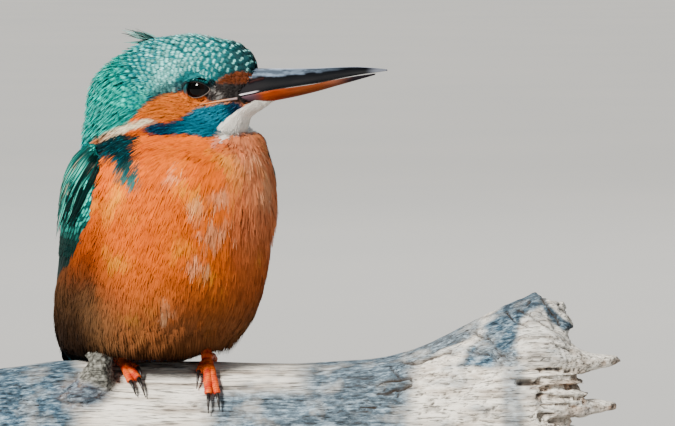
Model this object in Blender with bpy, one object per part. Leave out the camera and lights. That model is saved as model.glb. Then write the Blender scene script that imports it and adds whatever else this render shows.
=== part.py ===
"""Common kingfisher, adult female, life size, still, gripping a cut length of weathered branch.

The branch runs along X and is carried by two rods on a flat base. The origin is the middle of
the base's underside, +Z is up, and the bird faces -Y, turned towards +X, with its head turned
further round towards +X. The solids reach out to the tips of the feathers.
"""

import math

import bmesh
import bpy
from mathutils import Matrix, Vector

MM = 0.001
GAP = 0.3 * MM

# Stand: a flat base and two rods up into the branch.
BASE_LENGTH = 130 * MM
BASE_WIDTH = 84 * MM
BASE_THICKNESS = 10 * MM
BASE_CORNER = 8 * MM
BASE_EDGE = 1.2 * MM
ROD_RADIUS = 3 * MM
ROD_REACH = 9 * MM
ROD_PLACES = {"stand_rod_left": -30 * MM, "stand_rod_right": 34 * MM}
ROD_SIDES = 24

# Branch: its crest under the bird, and the sections that its outline needs.
CREST_HEIGHT = 68 * MM
BIRD_X = -27 * MM
BIRD_Y = -4 * MM
BRANCH_SIDES = 36
BRANCH_RINGS = 46
BRANCH_WAVE = 0.35
# X from the bird, crest, underside, half depth, all in mm.
BRANCH_SECTIONS = (
    (-50, -3.0, -35.5, 16.4),
    (-28, 0.0, -37.4, 18.4),
    (0, 0.0, -38.0, 19.0),
    (42, 0.2, -38.4, 19.6),
    (60, 2.2, -39.0, 20.2),
    (76, 7.6, -39.6, 21.4),
    (90, 14.6, -40.0, 22.6),
    (97, 16.4, -39.4, 22.8),
    (102, 12.0, -36.5, 20.4),
    (106, 5.0, -31.0, 15.0),
)
# Splinters of the broken end: root and tip as X, Y, Z from the crest, then root and tip radius.
SPLINTERS = (
    ((96, -4, -1.0), (118, -7, 0.8), 6.2, 0.9),
    ((98, -9, -5.0), (108.5, -10, -4.0), 3.6, 1.0),
    ((98, -10, -8.5), (109, -12, -7.2), 3.4, 1.0),
    ((98, -6, -15.0), (116, -8, -11.8), 4.6, 1.3),
    ((97, 7, -4.0), (112, 10, -2.0), 5.4, 1.0),
    ((96, 8, -18.0), (110, 9, -19.5), 5.6, 1.2),
    ((97, -3, 12.0), (103.5, -4, 14.5), 3.4, 0.9),
)
STUB_X = -20.4 * MM
STUB_ANGLE = math.radians(27)
STUB_RADIUS = 3.5 * MM
STUB_LIFT = 3.4 * MM

# Trunk: height over the crest, back, front and half width in the body's own frame, in mm,
# and how square the section is behind its middle.
BODY_TURN = math.radians(33)
TRUNK_SECTIONS = (
    (-9, -31.0, -25.0, 3.0, 2.2),
    (-5, -32.0, -19.0, 11.0, 2.2),
    (0, -31.8, -5.0, 18.0, 2.25),
    (3, -31.6, 8.0, 21.5, 2.3),
    (8, -31.4, 17.5, 23.6, 2.3),
    (20, -30.2, 26.0, 24.9, 2.15),
    (38, -27.6, 29.5, 25.6, 1.9),
    (50, -23.0, 27.6, 25.2, 1.9),
    (56, -19.0, 23.0, 22.8, 1.9),
    (61, -13.5, 14.0, 15.0, 2.0),
    (64, -8.0, 6.0, 5.0, 2.0),
)
TRUNK_POWER = 2.25
TRUNK_SIDES = 40
TRUNK_RINGS = 34
# Neck: height over the crest, middle as X and Y from the bird, half width and half depth, mm.
NECK_SECTIONS = (
    (49, 1.2, -4.5, 16.0, 12.0),
    (55, 1.5, -4.8, 24.2, 18.8),
    (60, 0.3, -4.2, 22.8, 17.8),
    (64, -2.5, -2.6, 19.4, 16.6),
    (69, -4.4, -1.2, 17.2, 15.4),
    (75, -5.4, -0.4, 14.2, 13.2),
    (81, -5.0, 0.0, 7.5, 7.0),
)

# Head, from the middle between the eyes: forward, top, underside and half width, in mm.
HEAD_X = 12.7 * MM
HEAD_Y = -8.6 * MM
HEAD_HEIGHT = 70.5 * MM
HEAD_TURN = math.radians(62)
HEAD_SECTIONS = (
    (-35, 0.0, -9.0, 3.5),
    (-32.5, 5.6, -12.5, 8.6),
    (-27, 10.8, -14.5, 11.4),
    (-18, 14.4, -15.5, 12.6),
    (-9, 15.9, -14.6, 11.8),
    (0, 14.9, -12.0, 9.8),
    (5, 13.2, -9.6, 7.7),
    (9, 10.9, -7.0, 5.6),
    (12, 8.0, -4.8, 4.1),
    (13.4, 5.8, -3.4, 2.6),
)
HEAD_POWER = 2.15
HEAD_SIDES = 36
HEAD_RINGS = 34
BODY_GRAIN = 1.1 * MM
BODY_SMOOTHING = 6
# The share of its faces that each fused form keeps.
BODY_SHARE = 0.036
BRANCH_SHARE = 0.022
FOOT_SHARE = 0.062
ROOM_SHARE = 0.2

EYE_RADIUS = 4.0 * MM
EYE_SPREAD = 6.1 * MM
EYE_FORWARD = -0.7 * MM
EYE_RAISE = 1.1 * MM
# The tuft of longer feathers behind the crown: forward, height, radius.
CREST = ((-16, 11.6, 2.6), (-20, 13.6, 1.9), (-23.5, 15.0, 1.1), (-26.6, 16.0, 0.45))

# Bill: forward, ridge, cutting edge and half width of the upper half, in mm.
BILL_UPPER_SECTIONS = (
    (5, 5.6, -1.75, 4.9),
    (9, 6.2, -0.75, 4.7),
    (13, 6.45, 0.1, 4.3),
    (18, 6.5, 1.2, 3.7),
    (24, 6.6, 2.1, 3.1),
    (30, 6.8, 3.0, 2.5),
    (36, 7.1, 4.2, 1.9),
    (42, 7.25, 5.25, 1.25),
    (47, 7.0, 5.9, 0.7),
    (50, 6.75, 6.3, 0.25),
)
# Forward, cutting edge, keel and half width of the lower half, in mm.
BILL_LOWER_SECTIONS = (
    (5, -2.05, -4.6, 4.6),
    (9, -1.05, -3.8, 4.4),
    (13, -0.2, -2.7, 4.0),
    (18, 0.9, -1.75, 3.4),
    (24, 1.8, -0.6, 2.8),
    (30, 2.7, 0.8, 2.2),
    (36, 3.9, 2.4, 1.65),
    (42, 4.95, 4.0, 1.05),
    (46.5, 5.6, 5.2, 0.5),
)
BILL_POWER = 1.6
BILL_SIDES = 11
BILL_RINGS = 18
SOCKET_GROW = 0.45

# Folded wing over the trunk: height, front edge and back edge in degrees round from the front,
# and thickness in mm. The envelope carries it on past the rump.
WING_ROWS = (
    (57.5, 94, 112, 0.9),
    (54.5, 82, 136, 1.6),
    (49, 76, 150, 1.9),
    (40, 75, 158, 1.9),
    (28, 83, 160, 1.6),
    (19, 96, 162, 1.5),
    (10, 121, 163, 1.5),
    (0, 138, 164, 1.4),
    (-11, 152, 164, 1.3),
)
WING_ENVELOPE = (
    (-12, -35.0, -22.0, 10.0, 2.2),
    (-6, -33.5, -15.0, 16.0, 2.2),
    (0, -32.2, -5.0, 20.6, 2.25),
    (8, -31.4, 17.5, 23.8, 2.3),
    (20, -30.3, 26.0, 25.0, 2.15),
    (38, -27.7, 29.5, 25.7, 1.9),
    (50, -23.1, 27.6, 25.3, 1.9),
    (58, -17.6, 19.8, 21.0, 1.9),
)
WING_CLEAR = 0.5
WING_STEPS = 16
WING_COLUMNS = 8

# Tail: root and tip as forward and height in the body's frame, in mm.
TAIL_ROOT = (-25.0, 3.0)
TAIL_TIP = (-39.5, -27.0)
TAIL_WIDTHS = ((0.0, 5.0), (0.5, 7.6), (0.85, 9.4), (0.95, 8.6), (1.0, 5.2))
TAIL_DEPTHS = (1.7, 0.9)
TAIL_RINGS = 8
TAIL_SIDES = 16

# Feet: the ankle and each toe's tip, as X from the bird in mm and degrees round the branch
# from its crest towards -Y.
FEET = {
    "right": {
        "ankle": (-12.2, 19),
        "hip": (1.6, 6.5, 8.0),
        "toes": {"hind": (-14.0, -17), "inner": (-7.6, 27), "middle": (-7.2, 40), "outer": (-9.2, 43)},
        "claws": {"hind": (-14.6, -31), "inner": (-6.0, 40), "middle": (-5.2, 56), "outer": (-7.6, 55)},
    },
    "left": {
        "ankle": (10.4, 19),
        "hip": (-1.2, 6.0, 8.5),
        "toes": {"hind": (12.0, -17), "inner": (8.4, 31), "middle": (11.0, 53), "outer": (13.3, 52)},
        "claws": {"hind": (12.6, -31), "inner": (7.9, 47), "middle": (11.0, 68), "outer": (13.9, 65)},
    },
}
TOE_RADII = {"hind": 1.15, "inner": 1.1, "middle": 1.3, "outer": 1.15}
TOE_TAPER = 0.84
TARSUS_RADIUS = 1.35
CLAW_RADIUS = 0.72
CLAW_TIP_RADIUS = 0.28
CLAW_ARCH = 0.7
FOOT_GRAIN = 0.36 * MM
ANKLE_CUT = 2.6 * MM
BELLY_CLEARANCE = 1.5
TOE_CLEARANCE = 0.7

COLOURS = {
    "plumage_teal": ((0.02, 0.25, 0.26), 0.55, 0.0),
    "plumage_orange": ((0.75, 0.27, 0.06), 0.8, 0.0),
    "bill_horn": ((0.03, 0.03, 0.035), 0.35, 0.0),
    "bill_red": ((0.62, 0.17, 0.05), 0.4, 0.0),
    "eye_dark": ((0.01, 0.008, 0.008), 0.08, 0.0),
    "foot_red": ((0.75, 0.12, 0.03), 0.5, 0.0),
    "claw_dark": ((0.05, 0.04, 0.04), 0.4, 0.0),
    "weathered_wood": ((0.55, 0.54, 0.52), 0.9, 0.0),
    "stand_wood": ((0.05, 0.03, 0.02), 0.4, 0.0),
    "stand_metal": ((0.6, 0.5, 0.3), 0.3, 1.0),
}

PERCH = Matrix.Translation((BIRD_X, 0, CREST_HEIGHT))
BODY = Matrix.Translation((BIRD_X, BIRD_Y, CREST_HEIGHT)) @ Matrix.Rotation(
    BODY_TURN - math.pi / 2, 4, "Z"
)
HEAD = Matrix.Translation(
    (BIRD_X + HEAD_X, HEAD_Y, CREST_HEIGHT + HEAD_HEIGHT)
) @ Matrix.Rotation(HEAD_TURN - math.pi / 2, 4, "Z")


def clear_scene():
    """Removes what the startup file holds."""
    for old in list(bpy.data.objects):
        bpy.data.objects.remove(old)


def finish(name):
    """The material of that name, made once."""
    found = bpy.data.materials.get(name)
    if found:
        return found
    colour, roughness, metallic = COLOURS[name]
    made = bpy.data.materials.new(name)
    made.use_nodes = True
    made.diffuse_color = (*colour, 1)
    shader = made.node_tree.nodes["Principled BSDF"]
    shader.inputs["Base Color"].default_value = (*colour, 1)
    shader.inputs["Roughness"].default_value = roughness
    shader.inputs["Metallic"].default_value = metallic
    return made


def spline(rows, at):
    """The row at this first value, read from a Catmull-Rom curve through the rows."""
    keys = [row[0] for row in rows]
    i = max(0, min(len(rows) - 2, sum(key <= at for key in keys) - 1))
    span = keys[i + 1] - keys[i]
    t = (at - keys[i]) / span
    values = []
    for column in range(1, len(rows[0])):
        here, there = rows[i][column], rows[i + 1][column]
        slope = (there - here) / span
        slopes = []
        for k in (i, i + 1):
            if 0 < k < len(rows) - 1:
                slopes.append((rows[k + 1][column] - rows[k - 1][column]) / (keys[k + 1] - keys[k - 1]))
            else:
                slopes.append(slope)
        start, end = slopes[0] * span, slopes[1] * span
        values.append(
            (2 * t**3 - 3 * t**2 + 1) * here
            + (t**3 - 2 * t**2 + t) * start
            + (3 * t**2 - 2 * t**3) * there
            + (t**3 - t**2) * end
        )
    return values


def spread(low, high, count):
    """Values from low to high, closer together at both ends."""
    return [
        low + (high - low) * (0.5 - 0.5 * math.cos(math.pi * k / (count - 1))) * 0.5
        + (high - low) * k / (count - 1) * 0.5
        for k in range(count)
    ]


def rounded(angle, half_a, half_b, power):
    """A point of a superellipse."""
    c, s = math.cos(angle), math.sin(angle)
    return (
        half_a * math.copysign(abs(c) ** (2 / power), c),
        half_b * math.copysign(abs(s) ** (2 / power), s),
    )


def loft(rings):
    """A closed mesh through rings of the same number of points, with a fan at each end."""
    mesh = bmesh.new()
    layers = [[mesh.verts.new(point) for point in ring] for ring in rings]
    count = len(rings[0])
    for below, above in zip(layers, layers[1:]):
        for k in range(count):
            after = (k + 1) % count
            mesh.faces.new((below[k], below[after], above[after], above[k]))
    for ring, layer in ((rings[0], layers[0]), (rings[-1], layers[-1])):
        pole = mesh.verts.new(sum((Vector(p) for p in ring), Vector()) / count)
        for k in range(count):
            mesh.faces.new((layer[k], layer[(k + 1) % count], pole))
    bmesh.ops.recalc_face_normals(mesh, faces=mesh.faces)
    return mesh


def tube(points, radii, sides=10, reach=0.0):
    """A tapered round bar along the points. reach in mm carries both ends further."""
    first = (points[0] - points[1]).normalized() * reach * MM
    last = (points[-1] - points[-2]).normalized() * reach * MM
    points = [points[0] + first, *points[1:-1], points[-1] + last]
    rings = []
    across = None
    for k, point in enumerate(points):
        before = points[max(0, k - 1)]
        after = points[min(len(points) - 1, k + 1)]
        along = (after - before).normalized()
        if across is None:
            across = along.orthogonal().normalized()
        across = (across - along * across.dot(along)).normalized()
        up = along.cross(across)
        rings.append([
            point + (across * math.cos(a) + up * math.sin(a)) * radii[k]
            for a in (2 * math.pi * s / sides for s in range(sides))
        ])
    return loft(rings)


def join(meshes):
    """Several bmeshes as one, not yet fused."""
    whole = bpy.data.meshes.new("joined")
    combined = bmesh.new()
    for mesh in meshes:
        mesh.to_mesh(whole)
        combined.from_mesh(whole)
        mesh.free()
    bpy.data.meshes.remove(whole)
    return combined


def place(name, mesh, material, matrix=None, helper=False):
    """An object in the scene from a bmesh, shaded smooth."""
    data = bpy.data.meshes.new(name)
    if matrix is not None:
        mesh.transform(matrix)
    mesh.to_mesh(data)
    mesh.free()
    data.shade_smooth()
    data.set_sharp_from_angle(angle=math.radians(50))
    made = bpy.data.objects.new(name, data)
    bpy.context.scene.collection.objects.link(made)
    data.materials.append(finish(material))
    if helper:
        made.hide_render = True
        made.display_type = "WIRE"
    return made


def settled(thing):
    """The object's mesh as its modifiers leave it, as a bmesh, with the object removed."""
    bpy.context.view_layer.update()
    graph = bpy.context.evaluated_depsgraph_get()
    data = bpy.data.meshes.new_from_object(thing.evaluated_get(graph))
    mesh = bmesh.new()
    mesh.from_mesh(data)
    bpy.data.objects.remove(thing)
    bpy.data.meshes.remove(data)
    return mesh


def fused(mesh, grain, smoothing, keep):
    """Overlapping closed shapes as one smooth skin, thinned to a share of its faces."""
    thing = place("fusing", mesh, "plumage_orange", helper=True)
    remesh = thing.modifiers.new("fuse", "REMESH")
    remesh.mode = "VOXEL"
    remesh.voxel_size = grain
    smooth = thing.modifiers.new("smooth", "SMOOTH")
    smooth.iterations = smoothing
    thin = thing.modifiers.new("thin", "DECIMATE")
    thin.ratio = keep
    return settled(thing)


def boolean(thing, other, operation):
    """Adds a cut or a union with a helper object."""
    change = thing.modifiers.new(operation.lower(), "BOOLEAN")
    change.operation = operation
    change.object = other
    change.solver = "EXACT"


def half(mesh, point, normal):
    """A copy of the mesh's side that the normal leaves behind, closed along the plane."""
    side = mesh.copy()
    cut = bmesh.ops.bisect_plane(
        side,
        geom=side.verts[:] + side.edges[:] + side.faces[:],
        plane_co=point,
        plane_no=normal,
        clear_outer=True,
        dist=1e-7,
    )
    rim = [part for part in cut["geom_cut"] if isinstance(part, bmesh.types.BMEdge)]
    bmesh.ops.contextual_create(side, geom=rim)
    bmesh.ops.triangulate(side, faces=side.faces)
    bmesh.ops.recalc_face_normals(side, faces=side.faces)
    return side


def branch_point(x, angle, lift=0.0):
    """A point over the branch, x and lift in mm, the angle from the crest towards -Y."""
    top, bottom, depth = spline(BRANCH_SECTIONS, x)
    wave = 1 + BRANCH_WAVE / 19 * (
        math.sin(3 * angle + x / 11) + 0.7 * math.sin(5 * angle - x / 17 + 1)
    )
    tall = (top - bottom) / 2
    return Vector((
        x,
        -(depth * wave + lift) * math.sin(angle),
        (top + bottom) / 2 + (tall * wave + lift) * math.cos(angle),
    )) * MM


def branch_mesh(grow=0.0):
    """The branch with its stub and splinters. grow in mm fattens it all round."""
    ends = BRANCH_SECTIONS[0][0] - grow, BRANCH_SECTIONS[-1][0]
    xs = [ends[0] + (ends[1] - ends[0]) * k / (BRANCH_RINGS - 1) for k in range(BRANCH_RINGS)]
    rings = [
        [branch_point(x, 2 * math.pi * k / BRANCH_SIDES, grow) for k in range(BRANCH_SIDES)]
        for x in xs
    ]
    return loft(rings)


def splinter_mesh(root, tip, thick, thin):
    """One tapered splinter of the broken end, flatter across than it is tall."""
    root, tip = Vector(root) * MM, Vector(tip) * MM
    steps = 5
    rings = []
    for k in range(steps):
        t = k / (steps - 1)
        radius = (thick + (thin - thick) * t**0.8) * MM
        centre = root.lerp(tip, t)
        rings.append([
            centre + Vector((0, 1.5 * radius * math.cos(a), 0.85 * radius * math.sin(a)))
            for a in (2 * math.pi * s / 9 + 0.3 * k for s in range(9))
        ])
    return loft(rings)


def stub_mesh():
    """The round stub of a side twig."""
    x = STUB_X / MM
    foot = branch_point(x + 1.5, STUB_ANGLE, -3)
    crown = branch_point(x, STUB_ANGLE, STUB_LIFT / MM)
    count = 6
    points = [foot.lerp(crown, k / (count - 1)) for k in range(count)]
    shares = (0.75, 0.85, 0.95, 1.0, 0.86, 0.45)
    return tube(points, [STUB_RADIUS * share for share in shares], 14)


def make_branch():
    """The branch, with the rods' sockets drilled into it."""
    pieces = [branch_mesh(), stub_mesh()]
    pieces += [splinter_mesh(*splinter) for splinter in SPLINTERS]
    mesh = fused(join(pieces), BODY_GRAIN, 2, BRANCH_SHARE)
    branch = place("perch_branch", mesh, "weathered_wood", PERCH)
    for name, x in ROD_PLACES.items():
        bottom = branch_underside(x)
        hole = round_bar(ROD_RADIUS + GAP, bottom - 4 * MM, bottom + ROD_REACH + GAP, x)
        boolean(branch, place(name + "_socket", hole, "stand_metal", helper=True), "DIFFERENCE")
    return branch


def branch_underside(x):
    """The height of the branch's underside at this world X."""
    _, bottom, _ = spline(BRANCH_SECTIONS, (x - BIRD_X) / MM)
    return CREST_HEIGHT + bottom * MM


def round_bar(radius, low, high, x, y=0.0):
    """An upright cylinder."""
    mesh = bmesh.new()
    bmesh.ops.create_cone(
        mesh, cap_ends=True, segments=ROD_SIDES, radius1=radius, radius2=radius, depth=high - low
    )
    bmesh.ops.translate(mesh, verts=mesh.verts, vec=(x, y, (low + high) / 2))
    return mesh


def make_stand():
    """The flat base with rounded corners, and the two rods."""
    corners = bmesh.new()
    bmesh.ops.create_cube(corners, size=1)
    bmesh.ops.scale(corners, vec=(BASE_LENGTH, BASE_WIDTH, BASE_THICKNESS), verts=corners.verts)
    bmesh.ops.translate(corners, vec=(0, 0, BASE_THICKNESS / 2), verts=corners.verts)
    upright = [e for e in corners.edges if abs(e.verts[0].co.z - e.verts[1].co.z) > BASE_THICKNESS / 2]
    bmesh.ops.bevel(corners, geom=upright, offset=BASE_CORNER, segments=5, affect="EDGES", profile=0.5)
    upper = [e for e in corners.edges if min(v.co.z for v in e.verts) > BASE_THICKNESS * 0.99]
    bmesh.ops.bevel(corners, geom=upper, offset=BASE_EDGE, segments=2, affect="EDGES", profile=0.5)
    place("stand_base", corners, "stand_wood")
    for name, x in ROD_PLACES.items():
        rod = round_bar(ROD_RADIUS, BASE_THICKNESS + GAP, branch_underside(x) + ROD_REACH, x)
        place(name, rod, "stand_metal")


def trunk_point(rows, height, angle, lift=0.0):
    """A point over the trunk in the body's frame. The angle runs from the front to the left."""
    back, front, wide, rear_power = spline(rows, height)
    power = TRUNK_POWER if math.cos(angle) > 0 else rear_power
    u, v = rounded(angle, (front - back) / 2 + lift, wide + lift, power)
    return Vector(((front + back) / 2 + u, v, height)) * MM


def trunk_mesh():
    """The trunk as level rings, from the vent to the base of the neck."""
    heights = spread(TRUNK_SECTIONS[0][0], TRUNK_SECTIONS[-1][0], TRUNK_RINGS)
    rings = [
        [trunk_point(TRUNK_SECTIONS, z, 2 * math.pi * k / TRUNK_SIDES) for k in range(TRUNK_SIDES)]
        for z in heights
    ]
    mesh = loft(rings)
    mesh.transform(BODY)
    return mesh


def neck_mesh():
    """The full, short neck between the trunk and the head."""
    rings = []
    for z in spread(NECK_SECTIONS[0][0], NECK_SECTIONS[-1][0], 14):
        x, y, wide, deep = spline(NECK_SECTIONS, z)
        rings.append([
            Vector((x + wide * math.cos(a), y + deep * math.sin(a), z)) * MM
            for a in (2 * math.pi * k / 32 for k in range(32))
        ])
    mesh = loft(rings)
    mesh.transform(PERCH)
    return mesh


def head_mesh():
    """The head as upright rings, from the nape to the base of the bill."""
    rings = []
    for x in spread(HEAD_SECTIONS[0][0], HEAD_SECTIONS[-1][0], HEAD_RINGS):
        top, bottom, wide = spline(HEAD_SECTIONS, x)
        ring = []
        for k in range(HEAD_SIDES):
            y, z = rounded(2 * math.pi * k / HEAD_SIDES, wide, (top - bottom) / 2, HEAD_POWER)
            ring.append(Vector((x, y, (top + bottom) / 2 + z)) * MM)
        rings.append(ring)
    mesh = loft(rings)
    mesh.transform(HEAD)
    return mesh


def bill_mesh(rows, upper, grow=0.0):
    """Half of the bill: an arched section with a flat cutting edge, tapering to the tip."""
    rings = []
    for x in spread(rows[0][0] - grow, rows[-1][0], BILL_RINGS):
        first, second, wide = spline(rows, x)
        edge, ridge = (second, first) if upper else (first, second)
        outward = math.copysign(grow, edge - ridge)
        edge, ridge = edge + outward, ridge - outward
        ring = []
        for k in range(BILL_SIDES):
            y, z = rounded(math.pi * k / (BILL_SIDES - 1), wide + grow, 1.0, BILL_POWER)
            ring.append(Vector((x, y, edge + (ridge - edge) * z)) * MM)
        rings.append(ring)
    mesh = loft(rings)
    mesh.transform(HEAD)
    return mesh


def make_bill(head):
    """Both halves of the bill, and their sockets in the head."""
    halves = (
        ("bill_upper", BILL_UPPER_SECTIONS, True, "bill_horn"),
        ("bill_lower", BILL_LOWER_SECTIONS, False, "bill_red"),
    )
    for name, rows, upper, material in halves:
        place(name, bill_mesh(rows, upper), material)
        socket = place(name + "_socket", bill_mesh(rows, upper, SOCKET_GROW), material, helper=True)
        boolean(head, socket, "DIFFERENCE")


def make_eyes(head):
    """Two round eyes, and their sockets in the head."""
    for side, name in ((-1, "eye_right"), (1, "eye_left")):
        for radius, helper in ((EYE_RADIUS, False), (EYE_RADIUS + GAP, True)):
            ball = bmesh.new()
            bmesh.ops.create_uvsphere(ball, u_segments=16, v_segments=8, radius=radius)
            bmesh.ops.translate(ball, verts=ball.verts, vec=(EYE_FORWARD, side * EYE_SPREAD, EYE_RAISE))
            made = place(name + "_socket" * helper, ball, "eye_dark", HEAD, helper)
            if helper:
                boolean(head, made, "DIFFERENCE")


def make_crest(head):
    """The tuft behind the crown, joined to the head."""
    points = [Vector((x, 0, z)) * MM for x, z, _ in CREST]
    tuft = tube(points, [radius * MM for _, _, radius in CREST], 10)
    boolean(head, place("crest", tuft, "plumage_teal", HEAD, True), "UNION")


def wing_mesh(side):
    """A folded wing as a curved shell over the trunk. side is 1 for the left, -1 for the right."""
    rows = sorted(WING_ROWS)
    low, high = rows[0][0], rows[-1][0]
    outer, inner = [], []
    for j in range(WING_STEPS):
        z = low + (high - low) * j / (WING_STEPS - 1)
        front, back, thick = spline(rows, z)
        for grid, share in ((outer, 1.0), (inner, 0.0)):
            line = []
            for k in range(WING_COLUMNS):
                t = k / (WING_COLUMNS - 1)
                swell = 0.4 + 0.6 * math.sin(math.pi * t) ** 0.6 if 0 < t < 1 else 0.4
                angle = side * math.radians(front + (back - front) * t)
                lift = WING_CLEAR + share * thick * swell
                line.append(trunk_point(WING_ENVELOPE, z, angle, lift))
            grid.append(line)
    mesh = loft([top + below[::-1] for top, below in zip(outer, inner)])
    mesh.transform(BODY)
    return mesh


def tail_mesh(grow=0.0):
    """The short tail as a shallow, slightly arched fan."""
    root = Vector((TAIL_ROOT[0], 0, TAIL_ROOT[1])) * MM
    tip = Vector((TAIL_TIP[0], 0, TAIL_TIP[1])) * MM
    along = (tip - root).normalized()
    thick = Vector((0, 1, 0)).cross(along)
    rings = []
    for k in range(TAIL_RINGS):
        t = k / (TAIL_RINGS - 1)
        (wide,) = spline(TAIL_WIDTHS, t)
        deep = TAIL_DEPTHS[0] + (TAIL_DEPTHS[1] - TAIL_DEPTHS[0]) * t
        ring = []
        for s in range(TAIL_SIDES):
            y, d = rounded(2 * math.pi * s / TAIL_SIDES, wide + grow, deep + grow, 2.6)
            arch = 0.012 * y * y
            ring.append(root.lerp(tip, t) + (Vector((0, y, 0)) + thick * (d - arch)) * MM)
        rings.append(ring)
    mesh = loft(rings)
    mesh.transform(BODY)
    return mesh


def toe_path(start, end, radius, steps=7):
    """Points along the branch's surface, lifted by the toe's own radius."""
    points = []
    for k in range(steps):
        t = k / (steps - 1)
        x = start[0] + (end[0] - start[0]) * t
        angle = math.radians(start[1] + (end[1] - start[1]) * t)
        points.append(branch_point(x, angle, radius[0] + (radius[1] - radius[0]) * t))
    return points


def toe_spots(foot, toe):
    """Where a toe starts and ends, beside its neighbours at the ankle."""
    ankle, tip = foot["ankle"], foot["toes"][toe]
    lean = {"hind": 0.0, "inner": 0.25, "middle": 0.05, "outer": 0.12}[toe]
    start = (ankle[0] + lean * (tip[0] - ankle[0]), ankle[1])
    return start, tip


def foot_mesh(foot, grow=0.0):
    """Shank and four toes of one foot as overlapping bars. grow in mm fattens them."""
    bars = []
    for toe, radius in TOE_RADII.items():
        start, tip = toe_spots(foot, toe)
        steps = 9
        path = toe_path(start, tip, (radius * 1.15 + 0.15, radius * TOE_TAPER + 0.12), steps)
        radii = []
        for k in range(steps):
            t = k / (steps - 1)
            pads = 1 + 0.07 * math.cos(3 * 2 * math.pi * t)
            radii.append(((radius + (radius * TOE_TAPER - radius) * t) * pads + grow) * MM)
        bars.append(tube(path, radii, 12, grow))
    ankle = branch_point(foot["ankle"][0], math.radians(foot["ankle"][1]), 1.5)
    hip = ankle + Vector(foot["hip"]) * MM
    radii = [(TARSUS_RADIUS * share + grow) * MM for share in (1.15, 1.0, 0.95, 1.0)]
    bars.append(tube([ankle.lerp(hip, k / 3) for k in range(4)], radii, 12, grow))
    return join(bars), ankle, (hip - ankle).normalized()


def claw_mesh(foot, toe, grow=0.0):
    """One curved claw, from just past its toe's tip. grow in mm fattens it."""
    tip, end = foot["toes"][toe], foot["claws"][toe]
    steps = 7
    begin = TOE_RADII[toe] * TOE_TAPER
    points, radii = [], []
    reach = math.hypot(end[0] - tip[0], math.radians(end[1] - tip[1]) * 19)
    for k in range(steps):
        t = (GAP / MM / reach) + (1 - GAP / MM / reach) * k / (steps - 1)
        x = tip[0] + (end[0] - tip[0]) * t
        angle = math.radians(tip[1] + (end[1] - tip[1]) * t)
        arch = CLAW_ARCH * math.sin(math.pi * min(1.0, t * 1.15))
        radius = CLAW_RADIUS + (CLAW_TIP_RADIUS - CLAW_RADIUS) * t
        lift = begin * (1 - t) + (CLAW_TIP_RADIUS + 0.15) * t + arch
        points.append(branch_point(x, angle, lift + 0.1))
        radii.append((radius + grow) * MM)
    return tube(points, radii, 7, grow)


def make_feet(trunk):
    """Both feet: leg, toes and claws, and the room for them under the belly."""
    for side, foot in FEET.items():
        mesh, ankle, up = foot_mesh(foot)
        form = fused(mesh, FOOT_GRAIN, 2, FOOT_SHARE)
        point = ankle + up * ANKLE_CUT
        leg = half(form, point + up * GAP / 2, -up)
        toes = half(form, point - up * GAP / 2, up)
        form.free()
        place(f"leg_{side}", leg, "foot_red", PERCH)
        toes = place(f"foot_{side}", toes, "foot_red", PERCH)
        room, _, _ = foot_mesh(foot, TOE_CLEARANCE)
        claws = [claw_mesh(foot, toe, TOE_CLEARANCE) for toe in TOE_RADII]
        room = fused(join([room, *claws]), BODY_GRAIN, 0, ROOM_SHARE)
        boolean(trunk, place(f"foot_{side}_room", room, "foot_red", PERCH, True), "DIFFERENCE")
        for toe in TOE_RADII:
            claw = f"claw_{side}_{toe}"
            place(claw, claw_mesh(foot, toe), "claw_dark", PERCH)
            quick = place(claw + "_room", claw_mesh(foot, toe, GAP / MM), "claw_dark", PERCH, True)
            boolean(toes, quick, "DIFFERENCE")


def make_body():
    """Trunk, neck and head as one form, parted by two thin cuts. Returns them and their room."""
    form = fused(join([trunk_mesh(), neck_mesh(), head_mesh()]), BODY_GRAIN, BODY_SMOOTHING, BODY_SHARE)
    throat = PERCH @ Vector((19.2 * MM, 0, 61.0 * MM))
    nape_rise = Vector((-37.7, 0, 9.0))
    head_normal = Vector((-nape_rise.z, 0, nape_rise.x)).normalized() * -1
    chest = PERCH @ Vector((0, 0, 55.0 * MM))
    up = Vector((0, 0, 1))
    head = place("head", half(form, throat + head_normal * GAP / 2, -head_normal), "plumage_teal")
    rest = half(form, throat - head_normal * GAP / 2, head_normal)
    place("neck", half(rest, chest + up * GAP / 2, -up), "plumage_teal")
    trunk = place("trunk", half(rest, chest - up * GAP / 2, up), "plumage_orange")
    room = place("body_room", form, "plumage_teal", helper=True)
    grow = room.modifiers.new("grow", "DISPLACE")
    grow.strength = 1.3 * GAP
    grow.mid_level = 0
    rest.free()
    return head, trunk, room


def main():
    """Builds the stand, the branch and the bird."""
    clear_scene()
    make_stand()
    make_branch()
    head, trunk, body_room = make_body()
    make_crest(head)
    make_bill(head)
    make_eyes(head)
    perch_room = place("perch_room", branch_mesh(BELLY_CLEARANCE), "weathered_wood", PERCH, True)
    boolean(trunk, perch_room, "DIFFERENCE")
    tail_room = place("tail_room", tail_mesh(GAP / MM), "plumage_teal", helper=True)
    boolean(trunk, tail_room, "DIFFERENCE")
    for side, name in ((1, "wing_left"), (-1, "wing_right")):
        wing = place(name, wing_mesh(side), "plumage_teal")
        boolean(wing, perch_room, "DIFFERENCE")
        boolean(wing, tail_room, "DIFFERENCE")
        boolean(wing, body_room, "DIFFERENCE")
    place("tail", tail_mesh(), "plumage_teal")
    make_feet(trunk)


main()
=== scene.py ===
"""A life-size female kingfisher on a broken, weathered branch, with its feathers laid over one skin.

Lengths are in millimetres until a mesh is written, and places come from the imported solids. The
plumage is laid by a flow that runs back from the bill and down the body, in tufts of fine barbs,
with vanes on the wings and tail. One function gives the markings to skin and feathers alike.
"""

import logging
import math
from dataclasses import dataclass, field
from enum import Enum
from typing import Callable

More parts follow.
